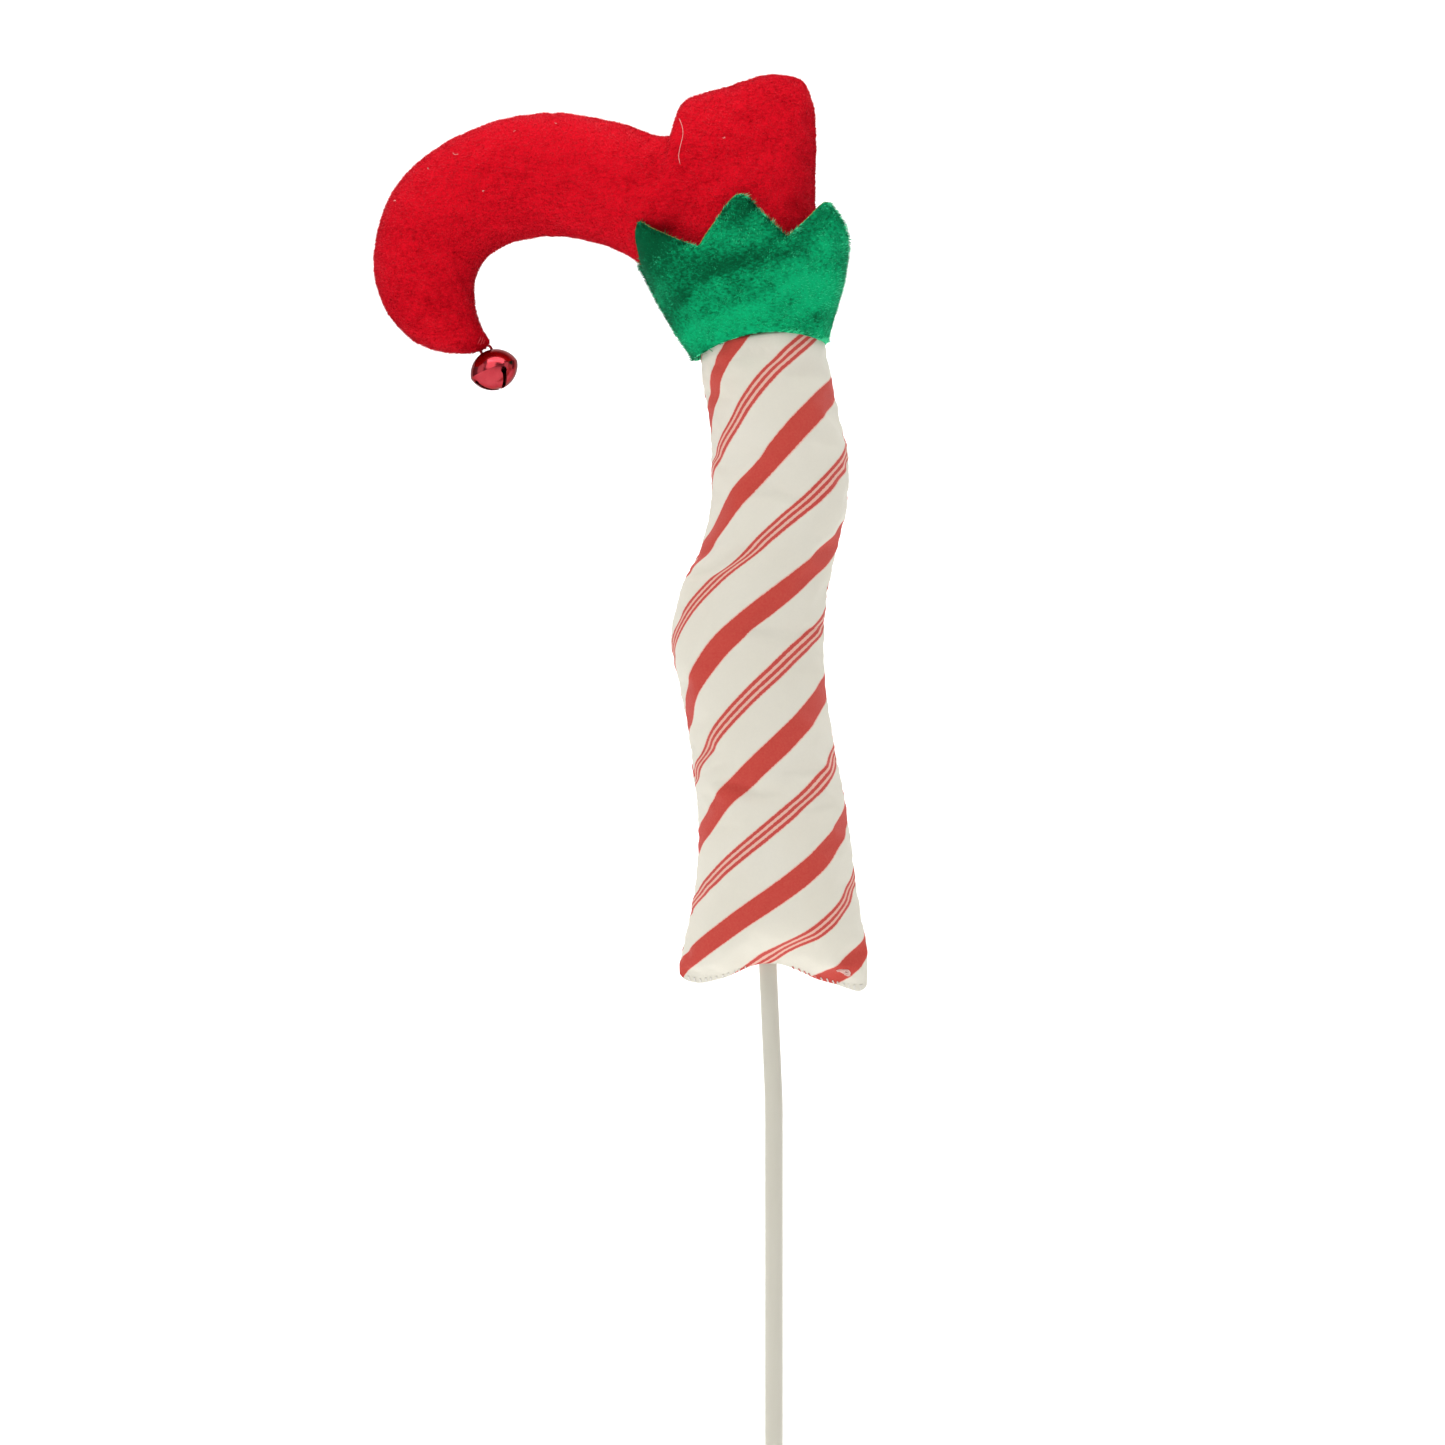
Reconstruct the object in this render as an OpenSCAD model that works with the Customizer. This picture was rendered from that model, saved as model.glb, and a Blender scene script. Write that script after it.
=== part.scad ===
// Stuffed elf-leg pick: a velvet shoe with a curled toe, a pointed cuff and a striped leg,
// upside down on a plastic-covered wire stem, with a jingle bell tied to the toe.
// Millimetres. Origin: centre of the stem's lower end. +Z runs up the stem, the toe points to -X,
// and the front of the leg faces -Y.

/* [Stem] */
// Outer diameter of the plastic sleeve
stem_d = 5; // [4:0.1:5.2]
// Diameter of the wire inside the sleeve
wire_d = 2; // [1:0.1:3]
// Length of the straight lower stretch
stem_straight = 165; // [120:1:165]
// Length of the upper stretch, above the slight bend
stem_upper = 157; // [60:1:160]
// Angle of the slight bend, towards the toe
stem_bend = 2.5; // [2:0.1:3]

/* [Fabric] */
// Thickness of the printed cotton of the leg
cotton_t = 0.6; // [0.4:0.1:0.8]
// Thickness of the velvet of the shoe, pile included
velvet_t = 1; // [0.6:0.1:1.2]
// Thickness of each of the two layers of the cuff
plush_t = 0.7; // [0.5:0.05:0.75]
// Free space between one layer and the next
ease = 0.1; // [0.05:0.01:0.15]

/* [Bell] */
// Diameter of the bell at its equator
bell_d = 14; // [13.6:0.1:14]
// Height of the bell without its shank
bell_h = 11.4; // [11.2:0.1:11.4]
// Thickness of the bell's sheet metal
bell_t = 0.5; // [0.3:0.05:0.6]
// Width of the crossed slits
slit_w = 1.2; // [0.8:0.1:1.6]
// Diameter of the pellet that rattles in the bell
pellet_d = 3.6; // [2.5:0.1:3.8]
// Diameter of the shank's wire
shank_wire_d = 0.8; // [0.5:0.05:0.8]
// Lean of the bell, whose top rests under the toe and whose slits point away from it
bell_lean = 22; // [18:0.5:24]

/* [Stitching] */
// Diameter of the thread that ties the bell to the toe
tie_d = 0.7; // [0.4:0.05:0.7]
// Lean of the thread loop, towards the toe
tie_lean = 12; // [8:0.5:14]
// Number of hem stitches on each side of the stem
hem_stitch_count = 6; // [3:1:8]
// Diameter of the hem thread
hem_thread_d = 0.5; // [0.3:0.05:0.6]

/* [Hidden] */
$fn = 48;

ivory = [0.86, 0.85, 0.79];
cream = [0.93, 0.92, 0.87];
velvet_red = [0.80, 0.02, 0.08];
plush_green = [0.03, 0.55, 0.28];
fibre_white = [0.97, 0.97, 0.96];
thread_red = [0.75, 0.10, 0.12];
bell_red = [0.72, 0.05, 0.10];

front = [180, 360];        // angles of the front half of a section
back = [0, 180];           // angles of the back half
bend_r = 200;              // radius of the stem's bend
bend_step = 0.02;          // how far the bend stands proud of the straight stretches
bend_lap = 0.3;            // length of each straight stretch that lies inside the bend
hole_fit = 0.05;           // radial room of a rod in its hole
glue_up = 36;              // height of the glue collar above the stem's bend
glue_h = 4;
glue_low_r = 3.4;
glue_high_r = 5;

// A section of a sewn tube is a rounded lens between two seam points. Each row is
// [x, z of the left or instep seam, x, z of the right or heel seam, half depth, bow, squareness]:
// bow lifts the middle of the section, and squareness under 1 makes the lens boxier.
leg_rows = [
    [-26.4, 203.6, 26.0, 200.6, 3.4, 5.5, 1],
    [-26.4, 207.4, 26.2, 205.6, 7.4, 4.2, 1],
    [-25.2, 214.6, 25.6, 214.6, 11.5, 2.2, 1],
    [-23.4, 223.4, 24.2, 224, 14, 0.8, 1],
    [-21.7, 236, 22.6, 236, 15.5, 0, 1],
    [-21.5, 250, 20.7, 250, 16, 0, 1],
    [-23.6, 270, 17, 270, 16, 0, 1],
    [-26.6, 286, 14.8, 286, 16, 0, 1],
    [-28.7, 299, 14.2, 300, 16.4, 0, 1],
    [-26.2, 312, 15.1, 312, 16.4, 0, 1],
    [-20.9, 324, 17.6, 324, 16, 0, 1],
    [-18.2, 335, 20.4, 336, 16, 0, 1],
    [-17.5, 349, 20.8, 349, 16, 0, 1],
    [-18.4, 361, 18.4, 362, 15.6, 0, 1],
    [-20, 371, 16, 373, 15.2, 0, 1],
    [-20.4, 377, 14.3, 380.5, 14.7, 0, 1],
    [-20.6, 381.5, 13.6, 386, 14.5, 0, 1]
];

shoe_rows = [
    [-20.6, 381.5, 13.6, 386, 14.5, 0, 1],
    [-25, 389, 13, 396, 14.5, 0, 1],
    [-29.2, 395, 12.4, 406, 14.5, 0, 1],
    [-31.8, 398.7, 12, 417, 14.5, 0, 1],
    [-33.4, 400.6, 12, 428, 14.5, 0, 1],
    [-34.5, 401.8, 11.6, 439, 14.5, 0, 1],
    [-35.3, 402.5, 10.7, 449, 14, 0, 1],
    [-35.9, 403, 7.4, 455.6, 13.5, 0, 1],
    [-36.4, 403.4, -1.5, 456.9, 13.5, 0, 1],
    [-36.8, 403.7, -11.5, 454.4, 13.3, 0, 1],
    [-37.2, 404, -20.6, 451.5, 13, 0, 1],
    [-37.7, 404.4, -25.8, 448.4, 12.8, 0, 1],
    [-38.6, 405, -28.2, 440.5, 12.5, 0, 1],
    [-42, 407, -33.8, 440.5, 12.5, 0, 1],
    [-48, 409.7, -42.4, 443.4, 13, 0, 1],
    [-56, 411.5, -55.4, 445.9, 13.4, 0, 1],
    [-64, 411.8, -69.4, 445.7, 13.4, 0, 1],
    [-72, 410.5, -84, 441.9, 13.4, 0, 1],
    [-78.2, 407.6, -97, 434, 13.2, 0, 1],
    [-82.2, 403.4, -106.4, 424, 13, 0, 1],
    [-83.9, 398.8, -111, 411.4, 12.4, 0, 1],
    [-83.9, 394.4, -111.4, 400, 11.6, 0, 1],
    [-83.3, 390.8, -107.6, 390.2, 10.6, 0, 1],
    [-82.6, 388.2, -101.4, 383.6, 9, 0, 1],
    [-81.8, 386.4, -94, 380.3, 6.8, 0, 1],
    [-81.1, 385.4, -87.4, 380.2, 4, 0, 1],
    [-80.4, 385, -83, 381.6, 1.3, 0, 1],
    [-79.1, 384.8, -79.9, 382.4, 0.8, 0, 1]
];

cuff_rows = [
    [-22.5, 377.2, 16, 381.4, 16.3, 2.6, 1],
    [-29.4, 385.6, 17.9, 391, 17.6, 1.6, 0.8],
    [-34.5, 395.4, 19.6, 400, 19.4, 0.6, 0.65],
    [-37.4, 405, 20.3, 409, 20.8, 0, 0.55],
    [-38.6, 414, 20, 418, 21.6, 0, 0.5],
    [-38, 424, 18.4, 428, 21.8, 0, 0.5]
];
// Cuff points as [angle round the leg, height in rows of cuff_rows], from seam to seam
cuff_front_points = [
    [180, 2.75], [197, 4], [245, 3.05], [268, 4.5], [272, 4.5], [295, 3.15], [323, 4.15], [360, 3]
];
cuff_back_points = [
    [0, 3], [33, 4.15], [62, 3.15], [88, 4.5], [92, 4.5], [117, 3.1], [155, 4.05], [180, 2.75]
];

tie_hole = [-80.1, 0, 383.7];    // needle hole through the toe's tip, where the thread swings
tie_hole_r = 0.8;
tie_r = 1.6;                     // centreline radius of the thread loop
tie_slack = 0.05;                // free space where the shank hangs on the thread
shank_r = 1.5;                   // centreline radius of the shank's arch
shank_neck = 0.1;                // gap between the shank's arch and the bell's top
shank_leg = 1.7;                 // length of the shank's legs, which pass through the bell's top
shank_bend_r = 0.6;              // bend between a leg and its foot
shank_foot = 1;                  // straight length of the feet that hold the shank inside the bell
bell_drop = bell_h / 2 + shank_neck + shank_r
    - shank_wire_d / 2 - tie_slack - tie_d / 2;   // from the thread loop's lowest point to the bell's middle
dome_r = (bell_d * bell_d / 4 + bell_h * bell_h / 4) / bell_h;   // radius of each half of the bell
dome_shift = dome_r - bell_h / 2;                                // dome's centre, off the equator
pellet_gap = 0.1;                // free space under the pellet
slit_turn = 25;                  // turn of the slits about the bell's axis
slit_top = -1.7;                 // height of the slits' upper ends, from the bell's equator
slit_end_r = 0.9;                // radius of the round hole that ends each slit

hem_stitch_row = 0.3;            // height of the hem's stitches, in rows of leg_rows
hem_stitch_start = 0.16;         // share of the hem's half width that is left free for the stem
hem_stitch_span = 0.78;          // share of it that the stitches cover
seam_thread_d = 0.5;
seam_thread_sides = 6;
cuff_stitch_count = 10;
cuff_stitch_row = 0.75;          // height of the cuff's stitches, in rows of cuff_rows
cuff_stitch_leg_row = 15.6;      // the same place on the leg, in rows of leg_rows

leg_station_steps = 2;           // sections made between one row and the next
section_steps = 12;              // facets of half a section
cuff_angle_step = 5;
cuff_levels = 5;
stuffing_floor = 4;              // first section of the leg's stuffing, just above the hem
stuffing_toe_gap = 4;            // rows that the shoe's stuffing stops short of the toe's tip
max_inset = 0.65;                // a section this far in is nearly closed, as at the toe's tip

// ---- Smooth rows and sections ----

function spline(a, b, c, d, t) =
    0.5 * (2 * b + (c - a) * t + (2 * a - 5 * b + 4 * c - d) * t * t + (3 * b - a - 3 * c + d) * t * t * t);

function row_at(rows, u) =
    let (last = len(rows) - 1, i = min(floor(u), last - 1))
    spline(rows[max(i - 1, 0)], rows[i], rows[i + 1], rows[min(i + 2, last)], u - i);

function sections(rows, steps) =
    [for (k = [0 : (len(rows) - 1) * steps]) row_at(rows, k / steps)];

// Point of a section at an angle, moved inwards by inset
function section_point(row, angle, inset) =
    let (
        left = [row[0], row[1]],
        right = [row[2], row[3]],
        half = (right - left) / 2,
        reach = norm(half) - min(inset, max_inset * norm(half)),
        depth = row[4] - min(inset, max_inset * row[4]),
        middle = (left + right) / 2 + half / norm(half) * reach * cos(angle),
        side = sin(angle)
    )
    [middle[0], sign(side) * pow(abs(side), row[6]) * depth, middle[1] + row[5] * side * side];

function ring(row, span, steps, inset) =
    [for (j = [0 : steps]) section_point(row, span[0] + (span[1] - span[0]) * j / steps, inset)];

// Zigzag height of the cuff at an angle, in rows
function height_at(points, angle) = lookup(angle, points);

// ---- Solids from grids of points ----

function flat(lists) = [for (l = lists) for (p = l) p];

// Two triangles for each cell of a grid with n points in a line, flipped to face the other way
function grid_faces(lines, n, start, flip) = flat([
    for (i = [0 : lines - 2]) for (j = [0 : n - 2])
        let (a = start + i * n + j, b = a + 1, c = a + n, d = c + 1)
        flip ? [[a, b, c], [b, d, c]] : [[a, c, b], [b, c, d]]
]);

// Strip that joins an edge of the outer grid to the same edge of the inner grid
function rim_faces(outer, inner) = flat([
    for (k = [0 : len(outer) - 2])
        [[outer[k], outer[k + 1], inner[k]], [outer[k + 1], inner[k + 1], inner[k]]]
]);

// A sheet with thickness, from an outer and an inner grid of the same shape
module sheet_solid(outer, inner) {
    lines = len(outer);
    n = len(outer[0]);
    half = lines * n;
    function edge(start, from, step, count) = [for (k = [0 : count - 1]) start + from + k * step];
    polyhedron(
        points = concat(flat(outer), flat(inner)),
        faces = concat(
            grid_faces(lines, n, 0, false),
            grid_faces(lines, n, half, true),
            rim_faces(edge(0, 0, 1, n), edge(half, 0, 1, n)),
            rim_faces(edge(half, half - n, 1, n), edge(0, half - n, 1, n)),
            rim_faces(edge(half, 0, n, lines), edge(0, 0, n, lines)),
            rim_faces(edge(0, n - 1, n, lines), edge(half, n - 1, n, lines))
        )
    );
}

// One sewn panel: half of the tube's skin
module panel(rows, steps, span, thickness) {
    lines = sections(rows, steps);
    sheet_solid(
        [for (row = lines) ring(row, span, section_steps, 0)],
        [for (row = lines) ring(row, span, section_steps, thickness)]
    );
}

// Solid filling of a tube, from one section to another
module filling(rows, steps, first, last, inset) {
    lines = [for (k = [first : last]) row_at(rows, k / steps)];
    n = 2 * section_steps;
    rings = [for (row = lines) [for (j = [0 : n - 1]) section_point(row, 360 * j / n, inset)]];
    points = concat(flat(rings), [mean(rings[0]), mean(rings[len(rings) - 1])]);
    end = (len(rings) - 1) * n;
    polyhedron(
        points = points,
        faces = concat(
            flat([
                for (i = [0 : len(rings) - 2]) for (j = [0 : n - 1])
                    let (a = i * n + j, b = i * n + (j + 1) % n)
                    [[a, a + n, b], [b, a + n, b + n]]
            ]),
            [for (j = [0 : n - 1]) [end + n, j, (j + 1) % n]],
            [for (j = [0 : n - 1]) [end + n + 1, end + (j + 1) % n, end + j]]
        )
    );
}

function sum(points, i = 0) = i == len(points) - 1 ? points[i] : points[i] + sum(points, i + 1);
function mean(points) = sum(points) / len(points);

// Thread laid along a path. The path's plane is square to the direction given.
function thread_ring(point, along, across, r) =
    let (u = cross(along, across) / norm(cross(along, across)), v = cross(u, along) / norm(cross(u, along)))
    [for (k = [0 : seam_thread_sides - 1])
        point + r * (cos(360 * k / seam_thread_sides) * u + sin(360 * k / seam_thread_sides) * v)];

module thread(path, across, closed = false) {
    count = len(path);
    n = seam_thread_sides;
    function nearby(k) = closed ? (k + count) % count : max(0, min(count - 1, k));
    rings = [for (k = [0 : count - 1])
        thread_ring(path[k], path[nearby(k + 1)] - path[nearby(k - 1)], across, seam_thread_d / 2)];
    last = closed ? count - 1 : count - 2;
    polyhedron(
        points = flat(rings),
        faces = concat(
            flat([
                for (i = [0 : last]) for (j = [0 : n - 1])
                    let (a = i * n + j, b = i * n + (j + 1) % n, up = ((i + 1) % count) * n)
                    [[a, b, up + j], [b, up + (j + 1) % n, up + j]]
            ]),
            closed ? [] : [[for (j = [n - 1 : -1 : 0]) j], [for (j = [0 : n - 1]) (count - 1) * n + j]]
        )
    );
}

// ---- Stem ----

// Rod that follows the stem's line: straight, slightly bent, then straight. The bend is a trace
// thicker than the straight stretches, which end inside it.
module stem_rod(r) {
    cylinder(r = r, h = stem_straight + bend_lap);
    translate([-bend_r, 0, stem_straight]) rotate([90, 0, 0])
        rotate_extrude(angle = stem_bend) translate([bend_r, 0]) circle(r + bend_step);
    on_upper_stem() translate([0, 0, -bend_lap]) cylinder(r = r, h = stem_upper + bend_lap);
}

// Places its children at the start of the stem's upper stretch, with +Z along it
module on_upper_stem() {
    translate([-bend_r, 0, stem_straight]) rotate([0, -stem_bend, 0]) translate([bend_r, 0, 0]) children();
}

module stem_core() {
    color("silver") stem_rod(wire_d / 2);
}

module stem_sleeve() {
    color(ivory) difference() {
        stem_rod(stem_d / 2);
        stem_rod(wire_d / 2 + hole_fit);
    }
}

// Hot-melt collar that holds the stem just inside the hem
module stem_glue() {
    color(fibre_white) on_upper_stem() translate([0, 0, glue_up]) difference() {
        cylinder(r1 = glue_low_r, r2 = glue_high_r, h = glue_h);
        translate([0, 0, -1]) cylinder(r = stem_d / 2 + hole_fit, h = glue_h + 2);
    }
}

// ---- Leg ----

module leg_front_panel() {
    color(cream) panel(leg_rows, leg_station_steps, front, cotton_t);
}

module leg_back_panel() {
    color(cream) panel(leg_rows, leg_station_steps, back, cotton_t);
}

module leg_stuffing() {
    color(fibre_white) difference() {
        filling(leg_rows, leg_station_steps, stuffing_floor,
            (len(leg_rows) - 1) * leg_station_steps, cotton_t + ease);
        on_upper_stem() cylinder(r = stem_d / 2 + hole_fit, h = stem_upper + ease);
    }
}

// Threads of the leg's two side seams
module leg_seam_threads() {
    lines = sections(leg_rows, leg_station_steps);
    color(cream) for (angle = [0, 180])
        thread([for (row = lines) section_point(row, angle, cotton_t / 2)], [0, 1, 0]);
}

// Whip stitches that close the hem on both sides of the stem
module hem_stitches() {
    hem = row_at(leg_rows, hem_stitch_row);
    color(thread_red) for (side = [-1, 1]) for (k = [1 : hem_stitch_count]) {
        lip = section_point(hem, acos(side * (hem_stitch_start + hem_stitch_span * k / hem_stitch_count)), 0);
        translate([lip[0], 0, lip[2]]) rotate([90, 0, 0])
            cylinder(d = hem_thread_d, h = 2 * lip[1] + hem_thread_d, center = true);
    }
}

// ---- Shoe ----

module shoe_panel(span) {
    difference() {
        panel(shoe_rows, 1, span, velvet_t);
        needle_hole();
    }
}

module shoe_front_panel() {
    color(velvet_red) shoe_panel(front);
}

module shoe_back_panel() {
    color(velvet_red) shoe_panel(back);
}

// Threads of the seam along the sole and of the seam along the instep
module shoe_seam_threads() {
    color(velvet_red) for (angle = [0, 180])
        thread([for (row = shoe_rows) section_point(row, angle, seam_thread_d / 2)], [0, 1, 0]);
}

module shoe_stuffing() {
    color(fibre_white) filling(shoe_rows, 1, 0, len(shoe_rows) - stuffing_toe_gap, velvet_t + ease);
}

// Seam thread that joins the leg to the shoe under the cuff
module ankle_seam_thread() {
    color(thread_red) thread(
        [for (j = [0 : 2 * section_steps - 1]) section_point(shoe_rows[0], 180 * j / section_steps, cotton_t / 2)],
        [0, 0, 1], closed = true
    );
}

// ---- Cuff ----

function cuff_grid(points, inset) = [
    for (angle = [points[0][0] : cuff_angle_step : points[len(points) - 1][0]]) [
        for (k = [0 : cuff_levels])
            section_point(row_at(cuff_rows, height_at(points, angle) * k / cuff_levels), angle, inset)
    ]
];

module cuff_layer(points, inset) {
    sheet_solid(cuff_grid(points, inset), cuff_grid(points, inset + plush_t));
}

module cuff_front_face() {
    color(plush_green) cuff_layer(cuff_front_points, 0);
}

module cuff_front_lining() {
    color(plush_green) cuff_layer(cuff_front_points, plush_t + ease);
}

module cuff_back_face() {
    color(plush_green) cuff_layer(cuff_back_points, 0);
}

module cuff_back_lining() {
    color(plush_green) cuff_layer(cuff_back_points, plush_t + ease);
}

// Threads of the two seams that join the cuff's front to its back
module cuff_seam_threads() {
    color(plush_green) for (angle = [0, 180])
        thread(
            [for (k = [0 : cuff_levels])
                section_point(row_at(cuff_rows, height_at(cuff_back_points, angle) * k / cuff_levels), angle, plush_t)],
            [0, 1, 0]
        );
}

// Short stitches that hold the cuff's lower edge to the leg
module cuff_stitches() {
    color(plush_green) for (k = [0 : cuff_stitch_count - 1]) {
        angle = 360 * (k + 0.5) / cuff_stitch_count;
        inside = section_point(row_at(leg_rows, cuff_stitch_leg_row), angle, cotton_t);
        outside = section_point(row_at(cuff_rows, cuff_stitch_row), angle, 0);
        reach = outside - inside;
        translate(inside)
            rotate([0, acos(reach[2] / norm(reach)), atan2(reach[1], reach[0])])
                cylinder(d = seam_thread_d, h = norm(reach));
    }
}

// ---- Bell and its tie ----

module needle_hole() {
    translate(tie_hole) rotate([90, 0, 0]) cylinder(r = tie_hole_r, h = bell_d, center = true);
}

// Places its children below the needle hole, at a drop along the thread loop's lean
module along_tie(drop) {
    translate(tie_hole) rotate([0, tie_lean, 0]) translate([0, 0, -drop]) children();
}

// Places its children in the bell's frame: origin at the bell's middle, +Z towards the shank
module on_bell() {
    along_tie(2 * tie_r) rotate([0, -tie_lean - bell_lean, 0]) translate([0, 0, -bell_drop]) children();
}

// Loop of thread through the needle hole in the toe's tip
module bell_tie() {
    color(thread_red) along_tie(tie_r) rotate([0, 90, 0])
        rotate_extrude() translate([tie_r, 0]) circle(d = tie_d);
}

// Wire staple: an arch outside the bell, two legs through its top, and a foot on each leg
module bell_shank() {
    top = bell_h / 2 + shank_neck;
    color("silver") on_bell() {
        translate([0, 0, top]) rotate([90, 0, 0])
            rotate_extrude(angle = 180) translate([shank_r, 0]) circle(d = shank_wire_d);
        for (turn = [0, 180]) rotate([0, 0, turn]) {
            translate([shank_r, 0, top - shank_leg]) cylinder(d = shank_wire_d, h = shank_leg);
            translate([shank_r + shank_bend_r, 0, top - shank_leg]) {
                rotate([90, 0, 0]) rotate([0, 0, 180])
                    rotate_extrude(angle = 90) translate([shank_bend_r, 0]) circle(d = shank_wire_d);
                translate([0, 0, -shank_bend_r]) rotate([0, 90, 0])
                    cylinder(d = shank_wire_d, h = shank_foot);
            }
        }
    }
}

// Two spherical caps that meet in a ridge at the equator
module bell_lens(inset) {
    intersection() {
        translate([0, 0, -dome_shift]) sphere(dome_r - inset);
        translate([0, 0, dome_shift]) sphere(dome_r - inset);
    }
}

// Half of the bell's sheet metal, above the equator for a side of 1 and below it for -1
module bell_half(side) {
    difference() {
        bell_lens(0);
        bell_lens(bell_t);
        translate([0, 0, -side * bell_h]) cube([2 * bell_d, 2 * bell_d, 2 * bell_h], center = true);
    }
}

module bell_top_shell() {
    color(bell_red) on_bell() difference() {
        bell_half(1);
        for (side = [-1, 1])
            translate([side * shank_r, 0, 0]) cylinder(d = shank_wire_d + 2 * hole_fit, h = bell_h);
    }
}

module bell_bottom_shell() {
    color(bell_red) on_bell() difference() {
        bell_half(-1);
        for (turn = [0, 90]) rotate([0, 0, slit_turn + turn]) {
            translate([-bell_d, -slit_w / 2, slit_top - bell_h]) cube([2 * bell_d, slit_w, bell_h]);
            translate([-bell_d, 0, slit_top]) rotate([0, 90, 0]) cylinder(r = slit_end_r, h = 2 * bell_d);
        }
    }
}

// Loose pellet, lying at the lowest place in the bell
module bell_pellet() {
    color("silver") on_bell() translate([0, 0, dome_shift]) rotate([0, bell_lean, 0])
        translate([0, 0, -(dome_r - bell_t - pellet_gap - pellet_d / 2)]) sphere(d = pellet_d);
}

stem_core();
stem_sleeve();
stem_glue();
leg_front_panel();
leg_back_panel();
leg_seam_threads();
leg_stuffing();
hem_stitches();
shoe_front_panel();
shoe_back_panel();
shoe_seam_threads();
shoe_stuffing();
ankle_seam_thread();
cuff_front_face();
cuff_front_lining();
cuff_back_face();
cuff_back_lining();
cuff_seam_threads();
cuff_stitches();
bell_tie();
bell_shank();
bell_top_shell();
bell_bottom_shell();
bell_pellet();
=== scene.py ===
"""Looks of a stuffed elf-leg pick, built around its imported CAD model.

Shapes are worked out in millimetres, in the CAD model's own frame, and turned into metres when a
mesh is made. +Z runs up the stem, the toe points to -X, and the front of the leg faces -Y.
"""

import math

import bpy
import numpy as np
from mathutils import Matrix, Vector
from mathutils.bvhtree import BVHTree


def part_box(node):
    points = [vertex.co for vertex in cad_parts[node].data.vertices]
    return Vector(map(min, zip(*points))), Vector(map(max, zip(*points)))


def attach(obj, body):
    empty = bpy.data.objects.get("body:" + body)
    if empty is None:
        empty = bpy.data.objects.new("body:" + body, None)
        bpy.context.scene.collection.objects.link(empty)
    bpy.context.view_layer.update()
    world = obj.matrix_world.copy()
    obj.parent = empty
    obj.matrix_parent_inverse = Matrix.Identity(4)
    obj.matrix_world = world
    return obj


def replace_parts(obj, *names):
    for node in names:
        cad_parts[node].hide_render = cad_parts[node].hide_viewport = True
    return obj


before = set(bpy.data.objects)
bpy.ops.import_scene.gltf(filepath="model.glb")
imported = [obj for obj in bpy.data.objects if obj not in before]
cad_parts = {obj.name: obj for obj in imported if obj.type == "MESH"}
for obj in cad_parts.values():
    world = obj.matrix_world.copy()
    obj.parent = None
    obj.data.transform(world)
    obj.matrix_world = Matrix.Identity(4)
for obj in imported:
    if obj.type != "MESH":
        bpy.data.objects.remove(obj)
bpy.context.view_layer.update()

MM = 0.001

# ---- Camera ----

camera_lens = 85               # focal length on a sensor 36 mm wide
camera_aim = (-14.4, 0, 275.8)
camera_distance = 955

# ---- The sewn tubes, as in the CAD model ----

# Each row is [x, z of the left or instep seam, x, z of the right or heel seam, half depth, bow,
# squareness]: bow lifts the middle of the section, and squareness under 1 makes the lens boxier.
leg_rows = [
    [-26.4, 203.2, 26.0, 200.4, 3.4, 5.5, 1],
    [-26.4, 207.4, 26.2, 205.6, 7.4, 4.2, 1],
    [-25.2, 214.6, 25.6, 214.6, 11.5, 2.2, 1],
    [-23.4, 223.4, 24.2, 224, 14, 0.8, 1],
    [-21.7, 236, 22.6, 236, 15.5, 0, 1],
    [-21.5, 250, 20.7, 250, 16, 0, 1],
    [-23.6, 270, 17, 270, 16, 0, 1],
    [-26.6, 286, 14.8, 286, 16, 0, 1],
    [-28.7, 299, 14.2, 300, 16.4, 0, 1],
    [-26.2, 312, 15.1, 312, 16.4, 0, 1],
    [-20.9, 324, 17.6, 324, 16, 0, 1],
    [-18.2, 335, 20.4, 336, 16, 0, 1],
    [-17.5, 349, 20.8, 349, 16, 0, 1],
    [-18.4, 361, 18.4, 362, 15.6, 0, 1],
    [-20, 371, 16, 373, 15.2, 0, 1],
    [-20.4, 377, 14.3, 380.5, 14.7, 0, 1],
    [-20.6, 381.5, 13.6, 386, 14.5, 0, 1],
]

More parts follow.
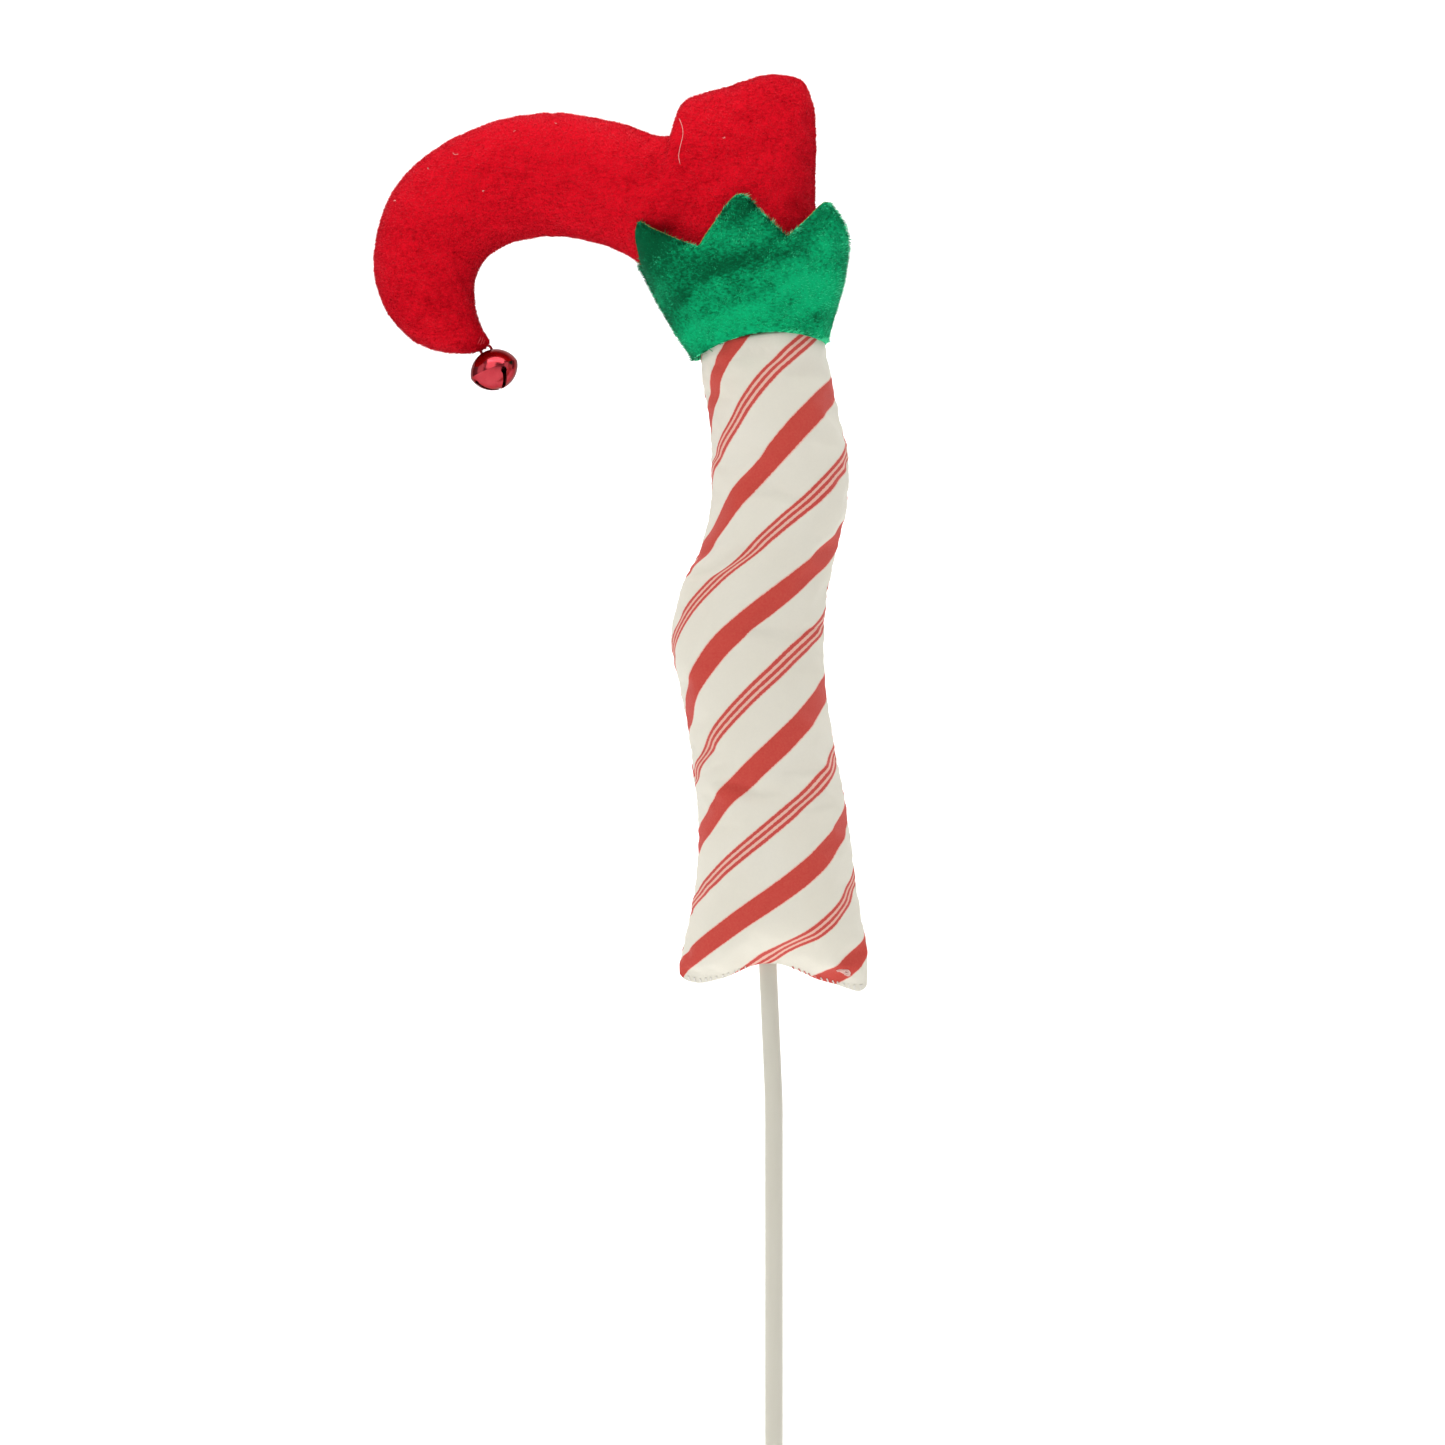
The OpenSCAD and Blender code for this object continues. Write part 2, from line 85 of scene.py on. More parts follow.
# The shoe's sections are plain lenses, so their rows stop at the half depth
shoe_rows = [row + [0, 1] for row in [
    [-20.6, 381.5, 13.6, 386, 14.5],
    [-25, 389, 13, 396, 14.5],
    [-29.2, 395, 12.4, 406, 14.5],
    [-31.8, 398.7, 12, 417, 14.5],
    [-33.4, 400.6, 12, 428, 14.5],
    [-34.5, 401.8, 11.6, 439, 14.5],
    [-35.3, 402.5, 10.7, 449, 14],
    [-35.9, 403, 7.4, 455.6, 13.5],
    [-36.4, 403.4, -1.5, 456.9, 13.5],
    [-36.8, 403.7, -11.5, 454.4, 13.3],
    [-37.2, 404, -20.6, 451.5, 13],
    [-37.7, 404.4, -25.8, 448.4, 12.8],
    [-38.6, 405, -28.2, 440.5, 12.5],
    [-42, 407, -33.8, 440.5, 12.5],
    [-48, 409.7, -42.4, 443.4, 13],
    [-56, 411.5, -55.4, 445.9, 13.4],
    [-64, 411.8, -69.4, 445.7, 13.4],
    [-72, 410.5, -84, 441.9, 13.4],
    [-78.2, 407.6, -97, 434, 13.2],
    [-82.2, 403.4, -106.4, 424, 13],
    [-83.9, 398.8, -111, 411.4, 12.4],
    [-83.9, 394.4, -111.4, 400, 11.6],
    [-83.3, 390.8, -107.6, 390.2, 10.6],
    [-82.6, 388.2, -101.4, 383.2, 9],
    [-81.8, 386.4, -94, 379.7, 6.8],
    [-81, 385, -87.4, 379, 4.2],
    [-80.1, 383.8, -83, 379.3, 2.1],
    [-79.2, 382.4, -80.6, 380.4, 1.1],
]]

cuff_rows = [
    [-22.5, 377.2, 14.9, 381.6, 16.3, 3.8, 1],
    [-28.1, 385.6, 17.6, 391, 17.4, 2, 0.8],
    [-33.7, 395.4, 19.9, 400, 18.6, 0.6, 0.65],
    [-37.9, 405, 20.6, 409, 19.4, 0, 0.55],
    [-39.7, 414, 20.3, 418, 19.5, 0, 0.5],
    [-39.3, 424, 18.7, 428, 19.1, 0, 0.5],
]
# Cuff points as [angle round the leg, height in rows of cuff_rows], from seam to seam
cuff_front_points = [
    [180, 2.75], [197, 4.16], [245, 3.03], [268, 4.54], [272, 4.54], [294.5, 3.15], [323, 4.27], [360, 3]
]
cuff_back_points = [
    [0, 3], [33, 4.25], [62, 3.15], [88, 4.54], [92, 4.54], [117, 3.1], [155, 4.15], [180, 2.75]
]

# ---- The printed cotton ----

# Lines of the print, from the ankle down: [number, height in the middle of the front, rise from
# there to the right seam, bend]. Whole numbers are wide stripes, and halves are three pinstripes.
print_lines = np.array([
    [-1, 430, 26, -8],
    [-0.5, 410, 25, -8],
    [0, 390, 25, -7],
    [0.5, 371.5, 22.5, -5.5],
    [1, 352.1, 26.2, -8.4],
    [1.5, 328.8, 32, -8],
    [2, 303.4, 27.3, -1.5],
    [2.5, 284, 23.3, -2],
    [3, 266, 22.6, -2],
    [3.5, 247.6, 22.2, -1.5],
    [4, 228.5, 24, -0.5],
    [4.5, 210, 24, 0],
    [5, 195, 20, 0],
    [5.5, 180, 20, 0],
    [6, 160, 20, 0],
])
print_lift = 0.8               # share of the hem's lift that doesn't bend the print
back_print_shift = 0.37        # the back panel is cut from another place of the cloth

# Height of the hem over a straight line between its seams, as [x, height]: the stem holds it up
hem_line = np.array([
    [-27.6, 4.2], [-26.4, 1.6], [-25, 0.2], [-20.7, -0.5], [-13.7, 1.5], [-6.7, 5.2], [-3, 6.4], [2, 6.4],
    [7, 4.6], [11.8, 2.5], [17, 1.4], [23.4, -0.5], [25.2, 0], [26.2, 1.6], [27.4, 4]
])

# Folds pressed into the leg: [x, z of one end, x, z of the other end, width, depth]
front_folds = [
    [-22, 322, -9, 328, 1.5, 0.9],
    [-23, 316.5, -12, 319, 1.2, 0.6],
    [-22, 260, -12, 266, 1.4, 0.6],
    [15, 303, 6, 300, 1.5, 0.5],
    [-22, 244, -15, 246, 1.5, 0.4],
    [20, 368, 10, 364, 1.6, 0.4],
]
back_folds = [
    [-22, 325, -6, 321, 1.6, 0.9],
    [-23, 318, -10, 314, 1.3, 0.6],
    [16, 304, 4, 308, 1.5, 0.7],
    [-21, 262, -10, 258, 1.4, 0.5],
    [21, 352, 10, 356, 1.6, 0.4],
]

# Darker and lighter places of the pile on the cuff's front, where it is pressed down and raised, partly
# painted sheen and shade: [x, z, width, height, amount]
cuff_patches = [
    [-34, 409, 5, 4, -0.3], [-22, 407.5, 4, 2, 0.3], [-17, 413, 2.5, 4, 0.3], [-8, 417, 3, 3.5, -0.28],
    [-11, 402, 9, 3.5, -0.42], [3, 404.5, 5, 2.5, -0.25], [8, 397, 6, 3, 0.3], [-9, 389, 8, 2.5, 0.32],
    [-26, 393, 4, 2, -0.3], [12, 388, 3, 2, -0.32], [14, 408, 3, 3, 0.12], [-23, 384, 3, 3, 0.2],
]

# Specks of lint on the front of the shoe: [x, z, size]
lint_places = [
    [-95.5, 429, 0.35], [-105, 420.3, 0.3], [-80.4, 422.5, 0.25], [-87.9, 433.2, 0.9], [-72.2, 439.3, 0.5],
    [-60.5, 441.5, 0.3], [-14, 437, 0.3],
]

plush_pile = dict(count=75000, length=2.3, width=0.34, lean=50, grain=0.75, contrast=0.42, slot="plush")
velvet_pile = dict(count=100000, length=0.7, width=0.15, lean=42, grain=0.4, contrast=0.22, slot="velvet")

leg_ring_count = 146
leg_ring_points = 88
shoe_ring_points = 64
cuff_steps, cuff_levels = 116, 44
cuff_thick = 1.5
tie_r = 0.35                   # radius of the CAD model's thread loop
red_stitches = (2, 13)         # x of the stretch of the hem sewn with red thread
hem_lip = 0.75                 # half thickness of the closed hem
hem_reach = 3.4                # how far above the hem the tube opens
stem_r = 2.5
stem_at_hem = -1.6             # x of the stem where it enters the leg
sim_scale = 10                 # the cloth is simulated ten times as large as it is
sim_frames = 20
weave_turn = 16.0              # turn of the weave's waves for each millimetre, in radians
seam_half = 0.9                # half width of the shoe's seam that is held while it is filled
toe_tip = (-80.1, 0, 382)
hem_knot_place = (20, -6, 205)
hair_place = (-26.3, 443)
floor_gap = 0.3                # the floor lies this far under the stem's cut end


# ---- Numbers and shapes ----

def rows_at(rows, places):
    """Rows between the given ones, on a smooth curve through them."""
    rows = np.asarray(rows, float)
    last = len(rows) - 1
    first = np.clip(np.floor(places).astype(int), 0, last - 1)
    t = (places - first)[:, None]
    a, b, c, d = (rows[np.clip(first + k, 0, last)] for k in (-1, 0, 1, 2))
    return 0.5 * (2 * b + (c - a) * t + (2 * a - 5 * b + 4 * c - d) * t**2 + (3 * b - a - 3 * c + d) * t**3)


def section_points(rows, angle):
    """Points of each row's section at the angles given in radians: rows along axis 0."""
    left, right = rows[:, None, 0:2], rows[:, None, 2:4]
    side = np.sin(angle)[None, :]
    middle = (left + right) / 2 + (right - left) / 2 * np.cos(angle)[None, :, None]
    depth = np.sign(side) * np.abs(side) ** rows[:, None, 6] * rows[:, None, 4]
    return np.stack([middle[..., 0], depth, middle[..., 1] + rows[:, None, 5] * side**2], axis=-1)


def soft_noise(points, size, seed, waves=14):
    """Smooth noise of about -1 to 1, with lumps of the size given in millimetres."""
    draw = np.random.RandomState(seed)
    total = np.zeros(points.shape[:-1])
    for _ in range(waves):
        direction = draw.normal(size=3)
        direction *= 2 * math.pi / (2 * size * draw.uniform(0.7, 1.5)) / np.linalg.norm(direction)
        total += np.sin(points @ direction + draw.uniform(0, 2 * math.pi))
    return total / math.sqrt(waves)


def bump_at(distance, width):
    return np.exp(-((distance / width) ** 2))


def ring_angles(count):
    return 2 * math.pi * np.arange(count) / count


def distance_along(path):
    """Length of a path from its start to each of its points."""
    return np.concatenate([[0], np.cumsum(np.linalg.norm(np.diff(path, axis=0), axis=1))])


def path_directions(path, closed):
    return unit(np.roll(path, -1, 0) - np.roll(path, 1, 0) if closed else np.gradient(path, axis=0))


def distance_to_line(points, start, end):
    """Distance in the XZ plane to a line, and the place along it from 0 to 1."""
    flat = points[..., [0, 2]] - np.array(start)
    line = np.array(end) - np.array(start)
    along = np.clip(flat @ line / (line @ line), 0, 1)
    return np.linalg.norm(flat - along[..., None] * line, axis=-1), along


def unit(vectors):
    return vectors / np.maximum(np.linalg.norm(vectors, axis=-1, keepdims=True), 1e-9)


def grid_quads(lines, count, wrap):
    """Quads of a grid of points, closed round the end of each line when wrap is set."""
    i, j = np.meshgrid(np.arange(lines - 1), np.arange(count if wrap else count - 1), indexing="ij")
    right = (j + 1) % count
    quads = [i * count + j, i * count + right, (i + 1) * count + right, (i + 1) * count + j]
    return np.stack(quads, axis=-1).reshape(-1, 4).tolist()


def new_mesh(name, points, faces, scale=MM):
    mesh = bpy.data.meshes.new(name)
    mesh.from_pydata((np.asarray(points) * scale).tolist(), [], faces)
    mesh.shade_smooth()
    mesh.update()
    return mesh


def new_object(name, data, material=None):
    made = bpy.data.objects.new(name, data)
    bpy.context.scene.collection.objects.link(made)
    if material:
        data.materials.append(material)
    return made


def mesh_points(mesh):
    points = np.empty(len(mesh.vertices) * 3, np.float32)
    mesh.vertices.foreach_get("co", points)
    return points.reshape(-1, 3).astype(float) / MM


def mesh_normals(mesh):
    normals = np.empty(len(mesh.vertices) * 3, np.float32)
    mesh.vertex_normals.foreach_get("vector", normals)
    return normals.reshape(-1, 3).astype(float)


def move_points(mesh, points):
    mesh.vertices.foreach_set("co", (points * MM).astype(np.float32).ravel())
    mesh.update()


def with_modifier(piece, kind, **values):
    """The mesh that the piece has with this one modifier, which isn't kept."""
    modifier = piece.modifiers.new("shape", kind)
    for name, value in values.items():
        setattr(modifier, name, value)
    seen = piece.evaluated_get(bpy.context.evaluated_depsgraph_get())
    mesh = bpy.data.meshes.new_from_object(seen)
    piece.modifiers.remove(modifier)
    return mesh


def subdivide(piece):
    piece.data = with_modifier(piece, "SUBSURF", levels=1, uv_smooth="NONE")
    piece.data.shade_smooth()


def set_values(mesh, name, values):
    """Keeps a number for each vertex, for a material or for a later step."""
    mesh.attributes.new(name, "FLOAT", "POINT").data.foreach_set("value", values.astype(np.float32))


def get_values(mesh, name):
    values = np.empty(len(mesh.vertices), np.float32)
    mesh.attributes[name].data.foreach_get("value", values)
    return values


def inflate(points, faces, pinned, cap, pressure, growth):
    """Fills a closed cover by cloth simulation. The pinned points are its seams."""
    scene = bpy.context.scene
    scratch = new_object("scratch", new_mesh("scratch", points, faces, MM * sim_scale))
    scratch.vertex_groups.new(name="pinned").add(np.flatnonzero(pinned).tolist(), 1, "REPLACE")
    cloth = scratch.modifiers.new("cloth", "CLOTH")
    settings = cloth.settings
    settings.quality = 5
    settings.mass = 0.2
    settings.tension_stiffness = settings.compression_stiffness = 20
    settings.shear_stiffness = 8
    settings.bending_stiffness = 4
    settings.air_damping = 4
    settings.vertex_group_mass = "pinned"
    settings.use_pressure = True
    settings.uniform_pressure_force = pressure
    settings.shrink_min = -growth
    settings.effector_weights.gravity = 0
    cloth.point_cache.frame_end = sim_frames
    for number in range(1, sim_frames + 1):
        scene.frame_set(number)
    seen = scratch.evaluated_get(bpy.context.evaluated_depsgraph_get())
    moved = mesh_points(seen.to_mesh()) / sim_scale - points
    bpy.data.objects.remove(scratch)
    scene.frame_set(1)
    length = np.linalg.norm(moved, axis=-1, keepdims=True)
    print("inflate: moved", length.mean().round(3), "to", length.max().round(3), "mm before the cap")
    return points + moved * cap * np.tanh(length / cap) / np.maximum(length, 1e-9)


def sweep(paths, radius, sides=8, closed=False):
    """Points and faces of tubes along paths, with round ends unless they are closed."""
    points, faces = [], []
    turn = ring_angles(sides)
    for path in paths:
        path = np.asarray(path, float)
        count = len(path)
        ahead = path_directions(path, closed)
        up = unit(np.cross(ahead[0], [0.31, 0.52, 0.79]))
        start = len(points)
        sizes = np.full(count, float(radius))
        if not closed:
            sizes[[0, -1]] *= 0.4
        for k in range(count):
            up = unit(up - ahead[k] * (up @ ahead[k]))
            side = np.cross(ahead[k], up)
            ring = path[k] + sizes[k] * (np.cos(turn)[:, None] * up + np.sin(turn)[:, None] * side)
            points.extend(ring.tolist())
        for i in range(count if closed else count - 1):
            a, b = start + i * sides, start + (i + 1) % count * sides
            faces.extend([a + j, a + (j + 1) % sides, b + (j + 1) % sides, b + j] for j in range(sides))
        if not closed:
            faces.append([start + j for j in reversed(range(sides))])
            faces.append([start + (count - 1) * sides + j for j in range(sides)])
    return points, faces


def make_thread(name, paths, radius, sides, look, body="root", closed=False):
    """Threads along paths, as one piece that rides on a body."""
    piece = new_object(name, new_mesh(name, *sweep(paths, radius, sides, closed)), look)
    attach(piece, body)
    return piece


def plies(path, count, radius, pitch, closed=False):
    """Paths of the strands of a twisted thread along a path."""
    ahead = path_directions(path, closed)
    length = distance_along(path)
    whole = length[-1] + (np.linalg.norm(path[0] - path[-1]) if closed else 0)
    turns = round(whole / pitch) if closed else whole / pitch
    up = unit(np.cross(ahead, [0.02, 1, 0.03]))
    side = np.cross(ahead, up)
    made = []
    for k in range(count):
        phase = 2 * math.pi * (turns * length / whole + k / count)
        made.append(path + radius * (np.cos(phase)[:, None] * up + np.sin(phase)[:, None] * side))
    return made


# ---- Materials ----

class Look:
    """One procedural material, with short calls to add its nodes."""

    def __init__(self, name):
        self.material = bpy.data.materials.new(name)
        self.material.use_nodes = True
        self.tree = self.material.node_tree
        self.surface = self.tree.nodes["Principled BSDF"]

    def add(self, kind, inputs=None, output=0, **values):
        node = self.tree.nodes.new("ShaderNode" + kind)
        for name, value in values.items():
            setattr(node, name, value)
        for name, value in (inputs or {}).items():
            if isinstance(value, bpy.types.NodeSocket):
                self.tree.links.new(value, node.inputs[name])
            else:
                node.inputs[name].default_value = value
        return node.outputs[output]

    def math(self, operation, a, b=0.0, c=0.0):
        return self.add("Math", {0: a, 1: b, 2: c}, operation=operation)

    def mix(self, share, a, b, blend="MIX"):
        """Colour a where share is 0 and colour b where it is 1."""
        return self.add("Mix", {0: share, 6: a, 7: b}, 2, data_type="RGBA", blend_type=blend)

    def fall(self, value, low, high):
        """1 where the value is under low, and 0 where it is over high."""
        inputs = {"Value": value, "From Min": low, "From Max": high, "To Min": 1.0, "To Max": 0.0}
        return self.add("MapRange", inputs, interpolation_type="SMOOTHSTEP")

    def noise(self, size, detail=2.0, distortion=0.0, stretch=(1, 1, 1), roughness=0.5):
        """Noise whose lumps have about this size in millimetres."""
        place = self.add("TexCoord", output=3)
        place = self.add("Mapping", {"Vector": place, "Scale": stretch})
        inputs = {"Vector": place, "Scale": 1 / (size * MM), "Detail": detail, "Distortion": distortion,
                  "Roughness": roughness}
        return self.add("TexNoise", inputs)

    def bump(self, height, depth, strength=1.0, below=None):
        """Relief with a depth in millimetres."""
        inputs = {"Height": height, "Distance": depth * MM, "Strength": strength}
        if below is not None:
            inputs["Normal"] = below
        return self.add("Bump", inputs)

    def set(self, **values):
        """Sets sockets of the surface, named with underscores for spaces."""
        for name, value in values.items():
            socket = self.surface.inputs[name.replace("_", " ")]
            if isinstance(value, bpy.types.NodeSocket):
                self.tree.links.new(value, socket)
            else:
                socket.default_value = value
        return self.material


def rgb(red, green, blue):
    return (red, green, blue, 1.0)


def cotton_look():
    """Cream cotton with a woven surface and printed candy stripes.

    The widths are shares of the distance between two wide stripes.
    """
    look = Look("printed_cotton")
    place = look.add("UVMap", uv_map="print")
    number = look.add("SeparateXYZ", {0: place}, 1)
    ragged = look.math("MULTIPLY_ADD", look.noise(0.5, 2), 0.012, -0.006)
    number = look.math("ADD", number, ragged)
    from_wide = look.math("PINGPONG", number, 0.5)
    from_group = look.math("PINGPONG", look.math("ADD", number, 0.5), 0.5)
    from_pin = look.math("PINGPONG", from_group, 0.0266)
    wide = look.fall(from_wide, 0.092, 0.099)
    fringe = look.fall(from_wide, 0.099, 0.110)
    group = look.fall(from_group, 0.066, 0.072)
    group_fringe = look.fall(from_group, 0.070, 0.080)
    pin = look.math("MULTIPLY", look.fall(from_pin, 0.0125, 0.0175), group)
    cloth = look.mix(look.noise(22, 3), rgb(0.77, 0.725, 0.60), rgb(0.83, 0.80, 0.70))
    cloth = look.mix(look.math("MULTIPLY", look.noise(0.7, 4), 0.25), cloth, rgb(0.66, 0.63, 0.56))
    salmon = rgb(0.82, 0.40, 0.31)
    ink = look.mix(look.noise(0.6, 4), rgb(0.56, 0.042, 0.034), rgb(0.62, 0.09, 0.063))
    pin_ink = look.mix(look.noise(0.6, 4), rgb(0.55, 0.045, 0.04), rgb(0.64, 0.10, 0.08))
    color = look.mix(look.math("MULTIPLY", fringe, 0.7), cloth, salmon)
    color = look.mix(look.math("MULTIPLY", group_fringe, 0.75), color, salmon)
    color = look.mix(pin, color, pin_ink)
    color = look.mix(wide, color, ink)
    weave = look.add("UVMap", uv_map="weave")
    waves = []
    for axis in (0, 1):
        along = look.add("SeparateXYZ", {0: weave}, axis)
        waves.append(look.math("SINE", look.math("MULTIPLY", along, weave_turn)))
    threads = look.math("MULTIPLY", *waves)
    height = look.math("MULTIPLY_ADD", look.noise(0.8, 3), 1.6, threads)
    relief = look.bump(look.noise(7, 2, 0.4), 0.35, 0.5)
    relief = look.bump(height, 0.05, 0.6, relief)
    return look.set(Base_Color=color, Normal=relief, Roughness=0.85, Specular_IOR_Level=0.2,
                    Sheen_Weight=0.12, Sheen_Roughness=0.5)


def pile_base_look(name, dark, light, rim, stretch):
    """Cloth under a pile: dark and light after its shade attribute, which holds pressed pile and painted
    shade, with a fine grain, and a painted dark rim where it turns away from view.
    """
    look = Look(name)
    shade = look.add("Attribute", output=2, attribute_name="shade")
    shade = look.math("MULTIPLY_ADD", look.noise(0.6, 3, 0.6, stretch), 1.3, shade)
    shade = look.math("ADD", look.math("MULTIPLY_ADD", look.noise(1.6, 2, 0.8, stretch), 0.4, shade), -0.85)
    color = look.mix(look.fall(shade, 0.1, 1.0), light, dark)
    # Painted shade: the colour goes towards the rim colour where the surface turns away from view.
    edge = look.add("LayerWeight", {"Blend": 0.3}, 1)
    color = look.mix(look.math("MULTIPLY", edge, 0.8), color, rim)
    relief = look.bump(look.noise(5, 2, 0.5), 0.5, 0.4)
    relief = look.bump(look.noise(0.6, 3, 0.5), 0.3, 0.7, relief)
    return look.set(Base_Color=color, Normal=relief, Roughness=0.9, Specular_IOR_Level=0.05)


def fibre_look(name, color, shine):
    """Single pile fibres, a little uneven in colour."""
    look = Look(name)
    color = look.mix(look.noise(1.2, 2), rgb(*[c * 0.8 for c in color[:3]]), color)
    return look.set(Base_Color=color, Roughness=0.5, Specular_IOR_Level=shine)


def plastic_look():
    """Ivory plastic sleeve with faint drawing marks."""
    look = Look("ivory_plastic")
    color = look.mix(look.noise(14, 3, 0.3, (1, 1, 0.25)), rgb(0.59, 0.565, 0.475), rgb(0.64, 0.615, 0.525))
    color = look.mix(look.math("MULTIPLY", look.noise(1.5, 3, 0, (1, 1, 0.1)), 0.3), color,
                     rgb(0.54, 0.51, 0.41))
    rough = look.math("MULTIPLY_ADD", look.noise(4, 3), 0.2, 0.32)
    relief = look.bump(look.noise(2.5, 2, 0, (1, 1, 0.08)), 0.06, 0.5)
    return look.set(Base_Color=color, Roughness=rough, Normal=relief, Subsurface_Weight=0.08,
                    Subsurface_Radius=(0.002, 0.002, 0.0015), Subsurface_Scale=1.0)


def lacquer_look():
    """Red lacquer over bright sheet metal, a little wavy and with fine scratches, with a painted dark
    outline.
    """
    look = Look("bell_lacquer")
    color = look.mix(look.noise(2, 3, 0.5), rgb(0.38, 0.014, 0.026), rgb(0.52, 0.05, 0.062))
    # Painted shade: the lacquer goes nearly black where it turns away from view, as a dark outline.
    edge = look.add("LayerWeight", {"Blend": 0.35}, 1)
    color = look.mix(look.math("POWER", edge, 1.6), color, rgb(0.07, 0.002, 0.012))
    rough = look.math("MULTIPLY_ADD", look.noise(0.5, 4, 1.5, (1, 1, 0.3)), 0.14, 0.10)
    relief = look.bump(look.noise(2.6, 1, 0.3), 0.12, 0.5)
    return look.set(Base_Color=color, Metallic=1.0, Roughness=rough, Normal=relief, Coat_Weight=0.3,
                    Coat_Roughness=0.06, Specular_Tint=rgb(0.3, 0.03, 0.06))


def steel_look(name, color):
    """Drawn wire or a rough pellet."""
    look = Look(name)
    tint = look.mix(look.noise(0.8, 3), color, rgb(*[c * 0.6 for c in color[:3]]))
    rough = look.math("MULTIPLY_ADD", look.noise(0.4, 3, 0, (1, 1, 0.3)), 0.25, 0.25)
    relief = look.bump(look.noise(0.35, 2), 0.03, 0.5)
    return look.set(Base_Color=tint, Metallic=1.0, Roughness=rough, Normal=relief)


def glue_look():
    """Cloudy hot-melt glue."""
    look = Look("hot_glue")
    color = look.mix(look.noise(1.5, 3), rgb(0.72, 0.71, 0.66), rgb(0.82, 0.81, 0.76))
    relief = look.bump(look.noise(1.2, 2), 0.2, 0.6)
    return look.set(Base_Color=color, Roughness=0.3, Normal=relief, Subsurface_Weight=0.2,
                    Subsurface_Radius=(0.002, 0.002, 0.002), Subsurface_Scale=1.0)


def thread_look(name, dark, light):
    """Sewing thread, lighter and darker along its fibres."""
    look = Look(name)
    color = look.mix(look.noise(0.25, 4, 0.5), dark, light)
    relief = look.bump(look.noise(0.12, 2, 0.3), 0.04, 0.8)
    return look.set(Base_Color=color, Roughness=0.7, Normal=relief, Sheen_Weight=0.08)


# ---- Leg ----

def leg_rings():
    """Rows of the leg at even heights."""
    fine = np.linspace(0, len(leg_rows) - 1, 40 * len(leg_rows))
    rows = rows_at(leg_rows, fine)
    height = (rows[:, 1] + rows[:, 3]) / 2
    even = np.linspace(height[0], height[-1], leg_ring_count)
    return rows_at(leg_rows, np.interp(even, height, fine))


def hem_lift(x, bow):
    """Height of the hem over a straight line, which fades up the leg with the rows' bow."""
    around = np.linspace(-1.2, 1.2, 7)
    height = sum(np.interp(x + shift, *hem_line.T) for shift in around) / len(around)
    return height * bow / leg_rows[0][5]


def press_folds(points, folds, side):
    """Presses folds into the half of a tube on one side of the seams, towards its middle."""
    inward = unit(points.mean(axis=1, keepdims=True) - points)
    facing = np.clip(side * points[..., 1] / 4, 0, 1)
    for x0, z0, x1, z1, width, depth in folds:
        distance, along = distance_to_line(points, (x0, z0), (x1, z1))
        press = bump_at(distance, width) - 0.45 * bump_at(distance, 2.6 * width)
        points = points + inward * (depth * press * np.cos(along * math.pi / 2) * facing)[..., None]
    return points


def print_place(share, height):
    """Number of the print's line at a share of the way from the middle of a panel to its seam."""
    number, middle, rise, bend = print_lines.T
    made = np.empty_like(height)
    for j in range(height.shape[1]):
        lines = middle + rise * share[:, j].mean() + bend * share[:, j].mean() ** 2
        made[:, j] = np.interp(height[:, j], lines[::-1], number[::-1])
    return made


def leg_maps(flat, lift):
    """Place in the print and in the weave for each point of each half: back first, then front."""
    steps = np.linalg.norm(np.roll(flat, -1, 1) - flat, axis=-1)
    half = leg_ring_points // 2
    maps = []
    for side in (0, 1):
        own = steps[:, side * half:(side + 1) * half]
        run = np.concatenate([np.zeros((len(flat), 1)), np.cumsum(own, 1)], 1)
        share = 2 * run / run[:, -1:] - 1
        columns = [(side * half + k) % leg_ring_points for k in range(half + 1)]
        height = flat[:, columns, 2] + print_lift * lift[:, columns]
        number = print_place(share, height) + back_print_shift * (1 - side)
        maps.append((share, number, run, height))
    return maps


def paint_leg(mesh, maps, quad_count):
    """Writes the two maps on the quads of the tube."""
    half = leg_ring_points // 2
    uses = [mesh.uv_layers.new(name="print"), mesh.uv_layers.new(name="weave")]
    for face in mesh.polygons[:quad_count]:
        line, column = divmod(face.index, leg_ring_points)
        side, k = divmod(column, half)
        share, number, run, height = maps[side]
        corners = [(line, k), (line, k + 1), (line + 1, k + 1), (line + 1, k)]
        for loop, (i, j) in zip(face.loop_indices, corners):
            uses[0].data[loop].uv = (share[i, j], number[i, j])
            uses[1].data[loop].uv = (run[i, j], height[i, j])


def leg_surface(flat, lift, angle):
    """The tube's points, pressed flat at the hem and given its folds and lumps."""
    points = flat.copy()
    closed = np.exp(-(((flat[..., 2] - flat[:1, :, 2]) / hem_reach) ** 1.5))
    lip = hem_lip + (stem_r - 0.1) * bump_at(flat[..., 0] - stem_at_hem, 3.2)
    side = np.sin(angle)[None, :]
    pressed = np.sign(side) * np.abs(side) ** 0.35 * lip
    points[..., 1] = flat[..., 1] * (1 - closed) + pressed * closed
    points[..., 2] += lift
    points = press_folds(points, front_folds, -1)
    points = press_folds(points, back_folds, 1)
    outward = unit(points - points.mean(axis=1, keepdims=True))
    away = np.abs(side) ** 0.5 * (1 - closed)
    lumps = 0.35 * soft_noise(points, 16, 3) + 0.16 * soft_noise(points, 6, 4)
    return points + outward * (lumps * away)[..., None]


def leg_faces():
    """Quads of the tube, then the faces that close its hem and its top."""
    ring = leg_ring_points
    count = leg_ring_count * ring
    lip = [[(j + 1) % ring, j, count + j, count + (j + 1) % ring] for j in range(ring)]
    bridge = []
    for j in range(ring // 2):
        corners = [j + 1, j, (ring - j) % ring, (ring - j - 1) % ring]
        bridge.append([count + corner for corner in dict.fromkeys(corners)])
    last = count - ring
    cap = [[last + j, last + (j + 1) % ring, count + ring] for j in range(ring)]
    return grid_quads(leg_ring_count, ring, True) + lip + bridge + cap


